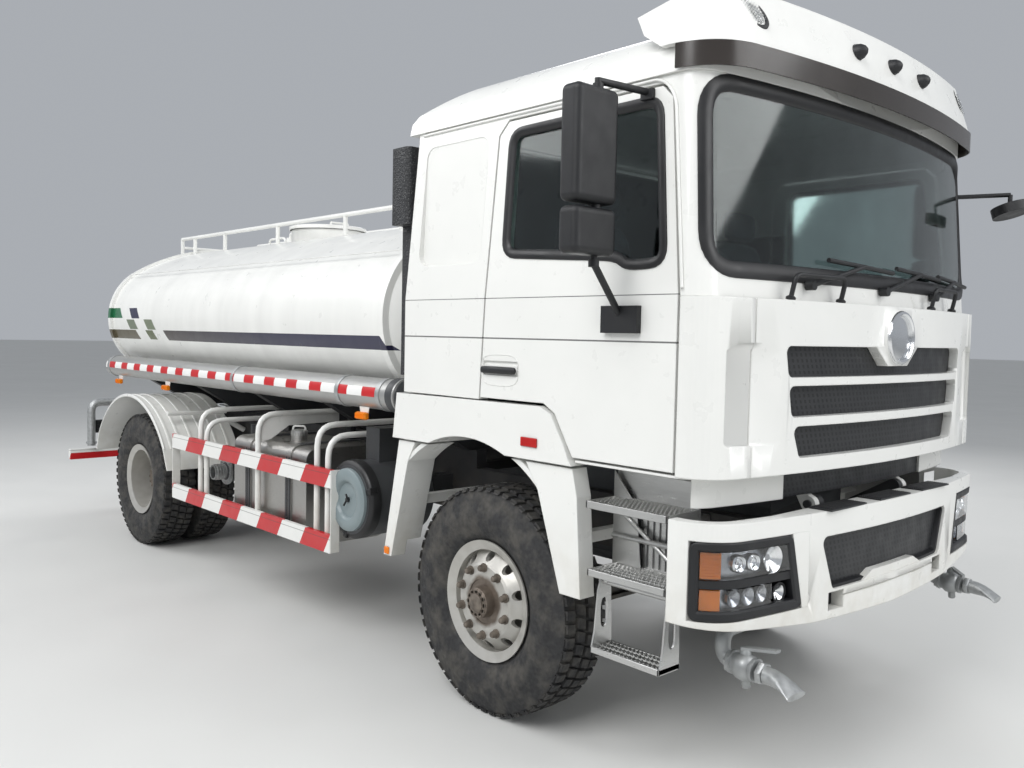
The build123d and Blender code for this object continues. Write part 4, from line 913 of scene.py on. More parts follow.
# Bumper: columns of the chin, of the cheeks beside the lamps and of the tow holes, the opening, its rim's section
CHIN = ((-0.292, 0.826, 0.832), *columns((-0.2, -0.1, 0.0, 0.1, 0.2), 0.826, 0.872), (0.292, 0.826, 0.832))
CHEEK = ((0.690, 0.788, 0.792), (0.694, 0.788, 1.102), (0.728, 0.788, 1.102), (0.800, 1.098, 1.102))
OPENING = ((-0.523, 0.835), (0.523, 0.835), (0.613, 1.065), (-0.613, 1.065))
OPENING_SECTION = ((0.0, -0.012), (0.012, -0.014), (0.016, -0.045), (0.0, -0.045))
TOW_HOLE = columns((0.430, 0.485, 0.545), 0.742, 0.826)


def handed(way, table):
    """Columns of a patch on the side that way gives."""
    return [(way * run, low, high) for run, low, high in table]


def bumper_trim():
    """Chin and cheeks that fill the opening's edge, the rim within it and the floors of the tow holes."""
    mesh = Mesh()
    mesh.patch(bumper_skin, CHIN, -0.050, -0.004)
    for way in SIDES.values():
        mesh.patch(bumper_skin, handed(way, CHEEK), -0.050, 0.0)
    mesh.piece("bumper_fillers", "cab", smooth=30)
    mesh = Mesh()
    mesh.moulding(bumper_skin, dense(turned(OPENING, 0.03, closed=True)), OPENING_SECTION)
    for way in SIDES.values():
        mesh.patch(bumper_skin, handed(way, TOW_HOLE), -0.064, -0.056)
    mesh.piece("opening_rim", "plastic")


def dense(loop, step=0.06):
    """Closed loop with extra points, so that it follows a bowed skin."""
    points = []
    for a, b in zip(loop, loop[1:] + loop[:1]):
        count = max(1, int((b - a).length / step))
        points += [a.lerp(b, i / count) for i in range(count)]
    return points


# Head lamps, as (run, z) on the bumper: outline of the frame, rows inside it
LAMP_FRAME = ((0.727, 0.793), (1.303, 0.793), (1.303, 1.098), (0.798, 1.098))
FRAME_SECTION = ((0.0, -0.060), (0.0, -0.002), (0.006, 0.002), (0.030, 0.0), (0.038, -0.008), (0.038, -0.060))
# Rows of the lamp, as columns of a patch
MAIN_Z = (0.955, 1.060)
FOG_Z = (0.832, 0.912)
MAIN_ROW = [(0.80, 0.955, 1.058)] + columns((0.86, 0.94, 1.02, 1.09, 1.13, 1.17), *MAIN_Z)
FOG_ROW = columns((0.905, 0.98, 1.06, 1.12, 1.17), *FOG_Z)
TURN_MAIN, TURN_FOG = (columns((1.175, 1.20, 1.225, 1.262), *z_span) for z_span in (MAIN_Z, FOG_Z))
BEND_RUNS = (0.86, 0.94, 1.02, 1.09, 1.13, 1.17, 1.21, 1.25)
BACK = columns((0.735, 0.80, *BEND_RUNS, 1.295), 0.80, 1.09)
MID_BAR = columns((0.765, *BEND_RUNS, 1.275), 0.917, 0.950)
# Reflectors: run, z, radius
PROJECTORS = ((1.075, 1.006, 0.036), (0.995, 1.003, 0.036))
BIG_BOWL = (0.893, 1.006, 0.052)
FOG_BOWLS = ((1.10, 0.872, 0.030), (1.02, 0.872, 0.033), (0.945, 0.872, 0.030))
FOG_ROUND = (0.838, 0.862, 0.032)
# Sections: of the projectors' collars and the round lamp's rim as (along, off the radius), of the eyes as
# (along, share of the radius)
COLLAR = ((-0.02, 0), (0.018, 0), (0.024, -0.006), (0.020, -0.011), (-0.02, -0.011))
FOG_RIM = ((-0.012, 0), (0.006, 0.002), (0.006, 0.010), (-0.03, 0.010))
EYE = ((-0.01, 0), (0.012, 0), (0.008, 0.4), (0, 0.62), (-0.01, 0.62))


def bowl(mesh, place, radius, depth):
    """Open reflector dish facing along local z."""
    dish = [(-depth * a, radius * r) for a, r in ((1, 0.22), (0.6, 0.55), (0.25, 0.82), (0, 1))]
    back = [(0.002, radius + 0.003), (-depth, radius + 0.003), (-depth - 0.004, radius * 0.22)]
    mesh.lathe(dish + back, place, 36)


def head_lamps():
    """Housings, reflector backs, bright bowls, turn lamps and clear covers on the bumper."""
    for side, way in SIDES.items():
        def skin(run, z, off, way=way):
            return bumper_skin(way * run, z, off)

        def seat(run, z, off, way=way):
            return facing(bumper_skin(way * run, z, off), (1, way * (0.12 + 0.5 * max(0.0, run - 0.95)), 0))

        housing = Mesh()
        housing.moulding(skin, dense(turned(LAMP_FRAME, 0.035, closed=True), 0.04), FRAME_SECTION)
        housing.patch(skin, BACK, -0.078, -0.064)
        housing.patch(skin, MID_BAR, -0.064, -0.010)
        run, z, radius = FOG_ROUND
        housing.lathe([(a, radius + r) for a, r in FOG_RIM], seat(run, z, -0.035), 32)
        housing.piece(f"lamp_housing_{side}", "plastic", smooth=35, node="lamps")

        dim = Mesh()
        dim.patch(skin, [(run, z0 - 0.002, z1 + 0.004) for run, z0, z1 in MAIN_ROW], -0.062, -0.050)
        dim.patch(skin, FOG_ROW, -0.062, -0.050)
        for run, z, radius in FOG_BOWLS:
            bowl(dim, seat(run, z, -0.034), radius, 0.014)
        dim.piece(f"lamp_backs_{side}", "reflector", smooth=35)

        chrome = Mesh()
        for run, z, radius in PROJECTORS:
            chrome.lathe([(a, radius + r) for a, r in COLLAR], seat(run, z, -0.048), 32)
            bowl(chrome, seat(run, z, -0.030), radius - 0.012, 0.012)
        run, z, radius = BIG_BOWL
        bowl(chrome, seat(run, z, -0.022), radius, 0.030)
        run, z, radius = FOG_ROUND
        bowl(chrome, seat(run, z, -0.035), radius, 0.02)
        # facets beside the big bowl
        for step in range(8):
            run, z = 0.812 + step * 0.0025, 0.965 + step * 0.011
            chrome.patch(skin, columns((run, run + 0.028), z, z + 0.008), -0.052, -0.036)
        chrome.piece(f"lamp_bowls_{side}", "chrome", smooth=35)

        amber = Mesh()
        amber.patch(skin, TURN_MAIN, -0.056, -0.020)
        amber.patch(skin, TURN_FOG, -0.056, -0.020)
        for row in range(9):
            z = 0.960 + row * 0.011
            amber.patch(skin, [(run, z, z + 0.006) for run, _, _ in TURN_MAIN], -0.02, -0.017)
        amber.piece(f"turn_lamp_{side}", "amber", smooth=30)

        cover = Mesh()
        cover.patch(skin, MAIN_ROW + TURN_MAIN, -0.010, -0.006)
        cover.patch(skin, FOG_ROW + TURN_FOG, -0.016, -0.012)
        for run, z, radius in PROJECTORS:
            cover.lathe([(a, radius * r) for a, r in EYE], seat(run, z, -0.034), 28)
        cover.piece(f"lamp_cover_{side}", "lens", smooth=30)


# Tail lamps: range of z, and lenses from the outside in as (low y, high y, material)
TAIL_Z = (0.800, 0.930)
TAIL_PARTS = ((0.850, 0.970, "amber"), (0.690, 0.846, "red"), (0.535, 0.686, "lens"))


def tail_lamps():
    """Box on each side of the tail, with three ribbed lenses."""
    for side, way in SIDES.items():
        box = Mesh()
        box.box(way, (-3.905, -3.870), (0.52, 0.98), TAIL_Z, 0.008)
        box.box(way, (-3.870, -3.855), (0.46, 0.96), (0.845, 0.885), 0.003)
        box.piece(f"tail_lamp_box_{side}", "plastic", smooth=30, node="lamps")
        for low, high, tint in TAIL_PARTS:
            lens = Mesh()
            lens.box(way, (-3.927, -3.903), (low, high), (TAIL_Z[0] + 0.012, TAIL_Z[1] - 0.012), 0.006)
            for i in range(6):
                z = TAIL_Z[0] + 0.024 + i * 0.016
                lens.box(way, (-3.930, -3.926), (low + 0.01, high - 0.01), (z, z + 0.006), 0.001)
            lens.piece(f"tail_lens_{tint}_{side}", tint, smooth=30)


# Visor lamps: y of the bullets, sections as (along, radius)
BULLETS = (-0.310, 0.0, 0.310)
BULLET = ((-0.03, 0.0), (-0.03, 0.036), (0.010, 0.037), (0.034, 0.031), (0.050, 0.020), (0.058, 0.008),
          (0.060, 0.0))
OVAL_BODY = ((-0.05, 0.0), (-0.05, 0.080), (0.012, 0.083), (0.026, 0.078), (0.026, 0.064), (0.016, 0.062),
             (0.016, 0.0))
OVAL_LENS = ((0.012, 0.0), (0.034, 0.0), (0.032, 0.025), (0.026, 0.050), (0.018, 0.063), (0.012, 0.063))


def oval_place(way):
    """Placing matrix of an oval lamp: round in section, drawn in upward and stretched along the visor."""
    return facing((3.615, way * 0.975, 3.128), (1, way * 0.30, 0.35)) @ Matrix.Diagonal((0.62, 1.15, 1, 1))


def visor_lamps():
    """Small dark bullet lamps across the visor and a broad oval one towards each corner."""
    mesh, lens = Mesh(), Mesh()
    for y in BULLETS:
        mesh.lathe(BULLET, facing((3.722 - y * y / (2 * BOW_R), y, 3.104), (1, 0, 0.12)), 28)
    for way in SIDES.values():
        place = oval_place(way)
        mesh.lathe(OVAL_BODY, place, 48)
        lens.lathe(OVAL_LENS, place, 40)
        for i in range(-5, 6):
            reach = math.sqrt(1 - (i / 6.2)**2) * 0.055
            rib = ((-reach, 0.028), (0, 0.036), (reach, 0.028))
            lens.tube([place @ Vector((a, i * 0.010, h)) for a, h in rib], 0.0025, steps=6)
    mesh.piece("visor_lamp_bodies", "plastic", "cab")
    lens.piece("visor_lamp_lenses", "lens", "cab")


# Grab brackets under the screen: y of their feet, and the section of a foot
GRABS = ((-0.798, -0.460), (0.430, 0.755))
GRAB_FOOT = ((0, 0), (0, 0.020), (0.010, 0.020), (0.016, 0.012), (0.016, 0))


def screen_brackets():
    """Bent bars on round feet."""
    mesh = Mesh()
    for pair in GRABS:
        feet = [panel_skin(y, 2.032, -0.022) for y in pair]
        rise = Vector((0.022, 0, 0.100))
        mesh.tube([feet[0], feet[0] + rise, feet[1] + rise, feet[1]], 0.010, cut=0.035)
        for foot in feet:
            mesh.lathe(GRAB_FOOT, facing(foot, (0.2, 0, 1)), 16)
    mesh.piece("screen_brackets", "plastic", "cab")


# Mirrors: panes as (middle z, height), and the clamps' heights on the arms
MIRROR_PANES = ((2.590, 0.435), (2.268, 0.180))
PANE_HALF_W = 0.098
MIRROR_CLAMPS = (2.815, 2.395, 2.365, 2.15)


def facing_back(point):
    """Placing matrix facing the rear, its local y upright."""
    return Matrix.Translation(point) @ Matrix(((0, 0, -1), (-1, 0, 0), (0, 1, 0))).to_4x4()


def mirror_faces():
    """Silvered faces at the backs of the mirror housings, and the clamps on the arms. All ride on the cab."""
    for side, way in SIDES.items():
        mesh = Mesh()
        for z, height in MIRROR_PANES:
            reach = height / 2 - 0.02
            outline = turned([(-PANE_HALF_W, -reach), (PANE_HALF_W, -reach), (PANE_HALF_W, reach),
                              (-PANE_HALF_W, reach)], 0.03, closed=True)
            mesh.prism(outline, 0.0, 0.003, facing_back((3.235, way * 1.500, z)), 0.001)
        mesh.piece(f"mirror_panes_{side}", "mirror", "cab", 30)
        mesh = Mesh()
        for z in MIRROR_CLAMPS:
            mesh.ring(facing((3.285, way * 1.460, z), UP), (-0.014, 0.014), (0.012, 0.021), 20)
        mesh.piece(f"mirror_clamps_{side}", "plastic", "cab")


# Pads of the left seat: name, low corner, high corner, crown, lean. The bunk: low and high corner
PADS = (
    ("cushion", (2.565, 0.375, 1.700), (3.060, 0.865, 1.838), 7, 0.0),
    ("back", (2.500, 0.385, 1.815), (2.655, 0.855, 2.440), 5, 0.13),
    ("headrest", (2.502, 0.485, 2.452), (2.590, 0.755, 2.618), 4, 0.0),
)
BUNK = ((1.855, -1.115, 1.700), (2.328, 1.115, 1.900))
SEAT_Y = 0.62
# Seat base: range of x, half width, and its levels as (z, spread)
BASE_X = (2.66, 2.96)
BASE_HALF_W = 0.19
BASE_LEVELS = ((1.392, 0.02), (1.50, -0.02), (1.66, 0.0), (1.71, 0.02))


def cushion(mesh, low, high, power, lean=0.0, cuts=12):
    """Crowned pad: a box grid drawn to a rounder form, its sides pulled in and its seams at the edges."""
    middle = (Vector(low) + Vector(high)) / 2
    half = (Vector(high) - Vector(low)) / 2
    index = {}
    verts = []

    def vertex(unit):
        key = tuple(round(c, 4) for c in unit)
        if key not in index:
            spread = sum(abs(c)**power for c in unit)**(-1 / power)
            spot = middle + Vector([c * spread * h for c, h in zip(unit, half)])
            spot.x -= lean * (spot.z - low[2])
            index[key] = len(verts)
            verts.append(spot)
        return index[key]

    faces = []
    for axis in range(3):
        for end in (-1, 1):
            def corner(i, j):
                unit = [0.0, 0.0, 0.0]
                unit[axis] = end
                unit[(axis + 1) % 3] = 2 * i / cuts - 1
                unit[(axis + 2) % 3] = 2 * j / cuts - 1
                return vertex(unit)
            for i in range(cuts):
                for j in range(cuts):
                    quad = (corner(i, j), corner(i + 1, j), corner(i + 1, j + 1), corner(i, j + 1))
                    faces.append(quad if end > 0 else tuple(reversed(quad)))
    mesh.add(verts, faces)


def pad(name, low, high, power, lean=0.0, cuts=12):
    """Padded piece that stands for a solid of the node seats."""
    mesh = Mesh()
    cushion(mesh, low, high, power, lean, cuts)
    mesh.piece(name, "fabric", "cab", 60, node="seats")


def seats():
    """Two seats with headrests and the bunk, each pad a crowned cushion."""
    frames = Mesh()
    for side, way in SIDES.items():
        for name, (x0, a, z0), (x1, b, z1), power, lean in PADS:
            y0, y1 = sorted((way * a, way * b))
            pad(f"seat_{name}_{side}", (x0, y0, z0), (x1, y1, z1), power, lean)
        rings = []
        for z, spread in BASE_LEVELS:
            (x0, x1), half = BASE_X, BASE_HALF_W + spread
            rings.append([Vector((x, way * SEAT_Y + a, z)) for x, a in (
                (x0 - spread, -half), (x1 + spread, -half), (x1 + spread, half), (x0 - spread, half))])
        frames.skinned(rings)
        for y in (way * SEAT_Y - 0.05, way * SEAT_Y + 0.05):
            frames.tube([(2.545, y, 2.40), (2.545, y, 2.48)], 0.008)
    frames.block((1.90, -0.83, 1.392), (2.25, 0.83, 1.71), 0.01)
    frames.piece("seat_bases", "trim", "cab", node="seats")
    pad("bunk_pad", *BUNK, 8, cuts=18)


# Air cleaner: middle of its face, and sections as (along, radius)
DRUM_FACE = (1.130, -1.170, 0.885)
COVER = ((0.005, 0.0), (0.003, 0.05), (0.004, 0.100), (0.022, 0.110), (0.027, 0.122), (0.027, 0.166),
         (0.016, 0.184), (-0.012, 0.188), (-0.012, 0.0))
RIM_BAND = ((-0.075, 0.224), (-0.070, 0.233), (-0.020, 0.233), (-0.008, 0.226), (0.000, 0.205),
            (-0.004, 0.196), (-0.075, 0.196))


def air_cleaner_cover():
    """Pale dished cover, and the black rim band with three clips and the wing nut."""
    place = facing(DRUM_FACE, (0, -1, 0))
    mesh = Mesh()
    mesh.lathe(COVER, place, 64)
    mesh.piece("cleaner_cover", "cover")
    mesh = Mesh()
    mesh.lathe(RIM_BAND, place, 64)
    mesh.lathe(((0.0, 0.0), (0.020, 0.0), (0.020, 0.013), (0.0, 0.016)), place, 20)
    for way in SIDES.values():
        wing = (way * 0.008, 0, 0.016), (way * 0.034, way * 0.016, 0.030)
        mesh.tube([place @ Vector(p) for p in wing], 0.006)
    for turn in (0.6, 2.7, 4.8):
        spot = place @ Matrix.Rotation(turn, 4, "Z")
        mesh.block((0.186, -0.018, -0.050), (0.236, 0.018, 0.004), 0.004, spot)
    mesh.piece("cleaner_rim", "seal")


# Fuel tank: filler cap with its section and its handle, then the straps' middles, their loop as (y, z) and their
# section as (along the tank, outward)
CAP_AT = (0.137, -0.940, 1.175)
CAP = ((0.0, 0.0), (0.022, 0.0), (0.022, 0.038), (0.016, 0.050), (-0.020, 0.052), (-0.020, 0.0))
CAP_HANDLE = ((-0.045, 0, 0.014), (-0.038, 0, 0.044), (0.038, 0, 0.044), (0.045, 0, 0.014))
STRAPS_X = (-0.180, 0.380)
STRAP_LOOP = ((-0.545, 0.500), (-1.150, 0.500), (-1.150, 1.120), (-0.545, 1.120))
STRAP = ((-0.013, 0.005), (0.013, 0.005), (0.011, 0.013), (-0.011, 0.013))


def fuel_details():
    """Filler cap with its bar handle, and double straps with their bolts."""
    mesh = Mesh()
    place = facing(CAP_AT, UP)
    mesh.lathe(CAP, place, 40)
    for turn in turns(20):
        spot = place @ Matrix.Rotation(turn, 4, "Z")
        mesh.block((0.047, -0.004, -0.018), (0.056, 0.004, 0.014), 0.001, spot)
    mesh.piece("filler_cap", "alloy", smooth=35)
    mesh = Mesh()
    mesh.tube([place @ Vector(p) for p in CAP_HANDLE], 0.007, cut=0.012)
    mesh.piece("filler_handle", "cab")
    mesh = Mesh()
    loop = turned(STRAP_LOOP, 0.11, closed=True)
    loop = list(zip(loop, insides(loop)))
    for x in STRAPS_X:
        for middle in (x - 0.018, x + 0.018):
            mesh.skinned([[Vector((middle + a, *(p - n * b))) for a, b in STRAP] for p, n in loop], closed=True)
        mesh.tube([(x - 0.03, -1.166, 0.62), (x + 0.03, -1.166, 0.62)], 0.012)
        mesh.tube([(x, -1.166, 0.56), (x, -1.166, 0.66)], 0.007)
    mesh.piece("fuel_straps", "drum")


# Guard posts as (x, height of the top), the gusset as (y, z), and the ends of the boards
POSTS = ((-0.883, 1.260), (-0.780, 1.190), (0.024, 1.300), (0.793, 1.293), (0.921, 1.238))
POST_Y = 1.186
POST_R = 0.019
GUSSET = ((1.186, 1.110), (1.146, 1.270), (1.056, 1.300), (0.560, 1.300), (0.560, 1.225), (0.960, 1.215),
          (1.090, 1.130))
BOARD_X = (-1.300, 1.020)


def guard_posts():
    """Bent tubes that carry the guards, their feet on the frame, a gusset, and plates at the boards' ends."""
    white, feet = Mesh(), Mesh()
    for way in SIDES.values():
        for x, top in POSTS:
            bends = ((POST_Y, 0.552), (POST_Y, top), (0.46, top))
            white.tube([(x, way * y, z) for y, z in bends], POST_R, cut=0.13, steps=14)
            feet.box(way, (x - 0.028, x + 0.028), (0.43, 0.475), (0.985, top + 0.03), 0.004)
            feet.ring(facing((x, way * 0.475, top - 0.08), (0, way, 0)), (0, 0.010), (0, 0.013))
        x = POSTS[2][0]
        white.prism([(way * y, z) for y, z in GUSSET], -0.005, 0.005,
                    Matrix.Translation((x, 0, 0)) @ Matrix(((0, 0, 1), (1, 0, 0), (0, 1, 0))).to_4x4())
        for x in BOARD_X:
            white.box(way, sorted((x, x + math.copysign(0.007, x))), (1.168, 1.232), (0.552, 1.048), 0.002)
        feet.box(way, (-3.890, -3.862), (0.43, 0.46), (0.560, 1.000), 0.003)
    white.piece("guard_tubes", "cab", node="guard_posts")
    feet.piece("guard_feet", "chassis", node="guard_posts")


# Hose tubes
HOSE_Y = 1.120
HOSE_Z = 1.520
HOSE_R = 0.090
# Lamps under the tubes: their x, and the bracket as (x from the lamp, z)
FLANK_LAMPS = (-2.586, -1.551, 1.276)
FLANK_PLATE = ((-0.030, 1.372), (0.030, 1.372), (0.050, 1.442), (-0.050, 1.442))
CLAMPS = (-2.80, -0.35, 1.02, 1.44)
# Sections as (along, above the tube)
CLAMP = ((0.0, -0.002), (0.0, 0.004), (0.008, 0.005), (0.030, 0.005), (0.038, 0.004), (0.038, -0.002))
HOSE_CAP = ((1.545, -0.010), (1.545, 0.009), (1.605, 0.009), (1.624, -0.004), (1.634, -0.040),
            (1.634, -HOSE_R), (1.60, -HOSE_R))


def hose_details():
    """Clamps, black end caps and the amber flank lamps on their brackets."""
    clamps, caps, plates, lamps = Mesh(), Mesh(), Mesh(), Mesh()
    for way in SIDES.values():
        along = facing((0, way * HOSE_Y, HOSE_Z), (1, 0, 0))
        for x in CLAMPS:
            clamps.lathe([(x + a, HOSE_R + r) for a, r in CLAMP], along, 40)
        caps.lathe([(a, HOSE_R + r) for a, r in HOSE_CAP], along, 40)
        for x in FLANK_LAMPS:
            plates.skinned([[Vector((x + a, way * y, z)) for a, z in FLANK_PLATE] for y in (1.165, 1.169)])
            lamps.box(way, (x - 0.052, x + 0.052), (1.169, 1.201), (1.370, 1.412), 0.006)
            for i in range(-4, 5):
                rib = x + i * 0.011
                lamps.box(way, (rib - 0.002, rib + 0.002), (1.199, 1.204), (1.376, 1.406), 0.001)
    clamps.piece("hose_clamps", "galvanised")
    caps.piece("hose_caps", "drum")
    plates.piece("flank_lamp_plates", "cab")
    lamps.piece("flank_lamps", "amber")


# Reflectors: material, middle, half sizes in x and z
REFLECTORS = (("red", (2.736, 1.256, 1.391), 0.052, 0.021), ("amber", (1.625, 1.240, 0.690), 0.020, 0.020))


def reflectors():
    """Red reflector on each wheel arch panel, amber ones on the rear legs."""
    meshes = {"red": Mesh(), "amber": Mesh()}
    for way in SIDES.values():
        for tint, (x, y, z), half_x, half_z in REFLECTORS:
            mesh, ribs_z = meshes[tint], (z - half_z * 0.8, z + half_z * 0.8)
            mesh.box(way, (x - half_x, x + half_x), (y, y + 0.009), (z - half_z, z + half_z), 0.003)
            for i in range(-3, 4):
                rib = x + i * half_x / 4
                mesh.box(way, (rib - 0.002, rib + 0.002), (y, y + 0.0105), ribs_z, 0.0005)
    meshes["red"].piece("arch_reflectors", "red", "cab", 30)
    meshes["amber"].piece("leg_reflectors", "amber", smooth=30)


# Entry steps. Treads: range of x, range of y, top, depth
TREADS = (
    ((3.072, 3.504), (1.032, 1.240), 1.177, 0.032),
    ((3.090, 3.504), (1.030, 1.240), 0.888, 0.030),
    ((3.105, 3.475), (1.095, 1.228), 0.556, 0.026),
)
# Outlines of the hanging arms as (y, z), and of the upright plate behind them as (x, z)
STEP_ARM = ((1.098, 0.535), (1.226, 0.535), (1.206, 0.620), (1.190, 0.790), (1.172, 0.842), (1.128, 0.842),
            (1.108, 0.790), (1.100, 0.640))
STEP_CHEEK = ((3.072, 1.290), (3.200, 1.150), (3.230, 0.880), (3.200, 0.790), (3.072, 0.790))
# Ranges of x, y and z, chamfer
STEP_BOXES = (
    ((3.070, 3.504), (1.020, 1.034), (0.800, 1.290), 0.002),
    ((3.440, 3.500), (0.430, 1.025), (0.880, 0.960), 0.003),
    ((3.090, 3.140), (0.430, 1.025), (1.000, 1.030), 0.003),
    ((3.130, 3.148), (1.124, 1.176), (0.826, 0.884), 0.002),
    ((3.440, 3.458), (1.124, 1.176), (0.826, 0.884), 0.002),
    ((3.488, 3.504), (1.030, 1.080), (0.870, 1.150), 0.002),
)
# Bars from x, z to x, z at one y, with their radius and number of sides
STEP_BARS = (
    (1.150, (3.090, 0.826), (3.490, 0.826), 0.014, 16),
    (1.066, (3.078, 1.010), (3.500, 1.010), 0.012, 10),
    (1.062, (3.085, 1.140), (3.480, 0.885), 0.010, 10),
)


# Turns a prism to stand along y
ACROSS = Matrix(((1, 0, 0), (0, 0, 1), (0, 1, 0))).to_4x4()


def tread(mesh, x_span, y_span, top, depth, way):
    """Pressed tray: an upstanding frame with toothed slats across it."""
    (x0, x1), (y0, y1) = x_span, y_span
    for span in ((y0, y0 + 0.010), (y1 - 0.010, y1)):
        mesh.box(way, x_span, span, (top - depth, top), 0.002)
    for span in ((x0, x0 + 0.010), (x1 - 0.010, x1)):
        mesh.box(way, span, y_span, (top - depth, top), 0.002)
    rows = int((y1 - y0 - 0.02) / 0.030)
    pitch = (y1 - y0 - 0.012) / rows
    for row in range(rows):
        y = y0 + 0.010 + row * pitch
        mesh.box(way, (x0 + 0.008, x1 - 0.008), (y, y + pitch * 0.62), (top - 0.012, top - 0.004), 0.001)
        teeth = int((x1 - x0) / 0.022)
        for tooth in range(teeth):
            x = x0 + 0.014 + tooth * (x1 - x0 - 0.028) / teeth
            mesh.prism(((x, 0.0), (x + 0.010, 0.0), (x + 0.005, 0.006)), 0.0, pitch * 0.50,
                       Matrix.Translation((0, y if way > 0 else -y - pitch * 0.5, top - 0.005)) @ ACROSS)


def plate_with_slot(mesh, outline, centre, half, x_low, x_high, way):
    """Upright plate across x, an (y, z) outline with a tall rounded hole."""
    loop = dense([Vector(p) for p in outline], 0.018)
    ring = [oval(centre, half, math.atan2((p.y - centre[1]) / half[1], (p.x - centre[0]) / half[0]), 0.7)
            for p in loop]
    mesh.skinned([[Vector((x, way * p.x, p.y)) for x, p in ((x_low, a), (x_high, a), (x_high, b), (x_low, b))]
                  for a, b in zip(loop, ring)], closed=True)


def entry_steps():
    """Treads, back panel with its brackets, bars and wires, and the hanging step on its slotted arms."""
    for side, way in SIDES.items():
        mesh = Mesh()
        for x_span, y_span, top, depth in TREADS:
            tread(mesh, x_span, y_span, top, depth, way)
        for x_span, y_span, z_span, edge in STEP_BOXES:
            mesh.box(way, x_span, y_span, z_span, edge)
        mesh.prism(STEP_CHEEK, 0.0, 0.004, Matrix.Translation((0, way * 1.058, 0)) @ ACROSS)
        for x in (3.105, 3.467):
            plate_with_slot(mesh, STEP_ARM, (1.150, 0.690), (0.022, 0.065), x, x + 0.008, way)
        for x in (3.139, 3.449):
            mesh.ring(facing((x, way * 1.176, 0.85), (0, way, 0)), (0, 0.012), (0, 0.012))
        for y, (x0, z0), (x1, z1), radius, steps in STEP_BARS:
            mesh.tube([(x0, way * y, z0), (x1, way * y, z1)], radius, steps=steps)
        mesh.piece(f"steps_{side}", "alloy", smooth=30, node="entry_steps")
        wires = Mesh()
        for i in range(12):
            x = 3.115 + i * 0.033
            wires.tube([(x, way * 1.038, 0.895), (x, way * 1.038, 1.145)], 0.0022, steps=6)
        wires.piece(f"step_wires_{side}", "drum", smooth=60)


# Arc of the rear mudguards as (x, z) at its front end and its top. Ribs: y, width, height
ARC_END = (-1.500, 0.900)
ARC_TOP = (-2.250, 1.290)
RIBS = [(y, 0.03, 0.007) for y in (0.66, 0.76, 0.86, 0.96, 1.06, 1.14)] + [(1.208, 0.017, 0.010)]


def mudguard_ribs():
    """Ribs running round the rear mudguards, and their turned outer lips."""
    half = ARC_END[0] - ARC_TOP[0]
    rise = ARC_TOP[1] - ARC_END[1]
    radius = (half * half + rise * rise) / (2 * rise)
    centre_z = ARC_TOP[1] - radius
    reach = math.asin(half / radius)
    mesh = Mesh()
    for way in SIDES.values():
        for y, width, height in RIBS:
            section = ((0.0, -0.004), (0.006, height), (width - 0.006, height), (width, -0.004))
            rings = []
            for step in range(41):
                turn = reach * (1 - step / 20)
                rings.append([Vector((ARC_TOP[0] + (radius + lift) * math.sin(turn), way * (y + b),
                                      centre_z + (radius + lift) * math.cos(turn))) for b, lift in section])
            mesh.skinned(rings)
        mesh.tube([(-1.63, way * 0.64, 1.175), (-1.63, way * 1.14, 1.175)], 0.019, steps=14)
    mesh.piece("mudguard_ribs", "cab", smooth=35)


# Front nozzles: bends of the pipe, its tip and radius
PIPE = ((3.600, 0.500, 0.700), (3.600, 0.980, 0.700), (3.600, 0.980, 0.590))
PIPE_TIP = (3.947, 1.000, 0.575)
PIPE_R = 0.032
# Sections as (along, radius) of the valve, a coupling, the stem and the drain; of the lever as (across, up)
VALVE = ((-0.045, 0.0), (-0.045, 0.046), (-0.030, 0.048), (-0.026, 0.041), (-0.014, 0.044), (0.0, 0.054),
         (0.024, 0.058), (0.045, 0.052), (0.056, 0.042), (0.062, 0.047), (0.078, 0.047), (0.082, 0.0))
COUPLING = ((0.0, 0.020), (0.0, 0.043), (0.004, 0.046), (0.022, 0.046), (0.026, 0.043), (0.026, 0.020))
STEM = ((0.04, 0.0), (0.04, 0.024), (0.070, 0.022), (0.078, 0.014), (0.078, 0.0))
DRAIN = ((0.04, 0.0), (0.04, 0.018), (0.080, 0.018), (0.086, 0.012), (0.086, 0.0))
LEVER = ((-1, -1), (1, -1), (1.1, 0), (1, 1), (-1, 1), (-1.1, 0))
LEVER_ROWS = (-0.016, 0.01, 0.04, 0.07, 0.092)
# Fan sections: share of the run, half width, half height, drop
FAN = ((0.60, 0.034, 0.034, 0.0), (0.70, 0.036, 0.033, 0.001), (0.80, 0.043, 0.027, 0.006),
       (0.88, 0.051, 0.020, 0.016), (0.95, 0.057, 0.014, 0.028), (0.99, 0.060, 0.013, 0.037))


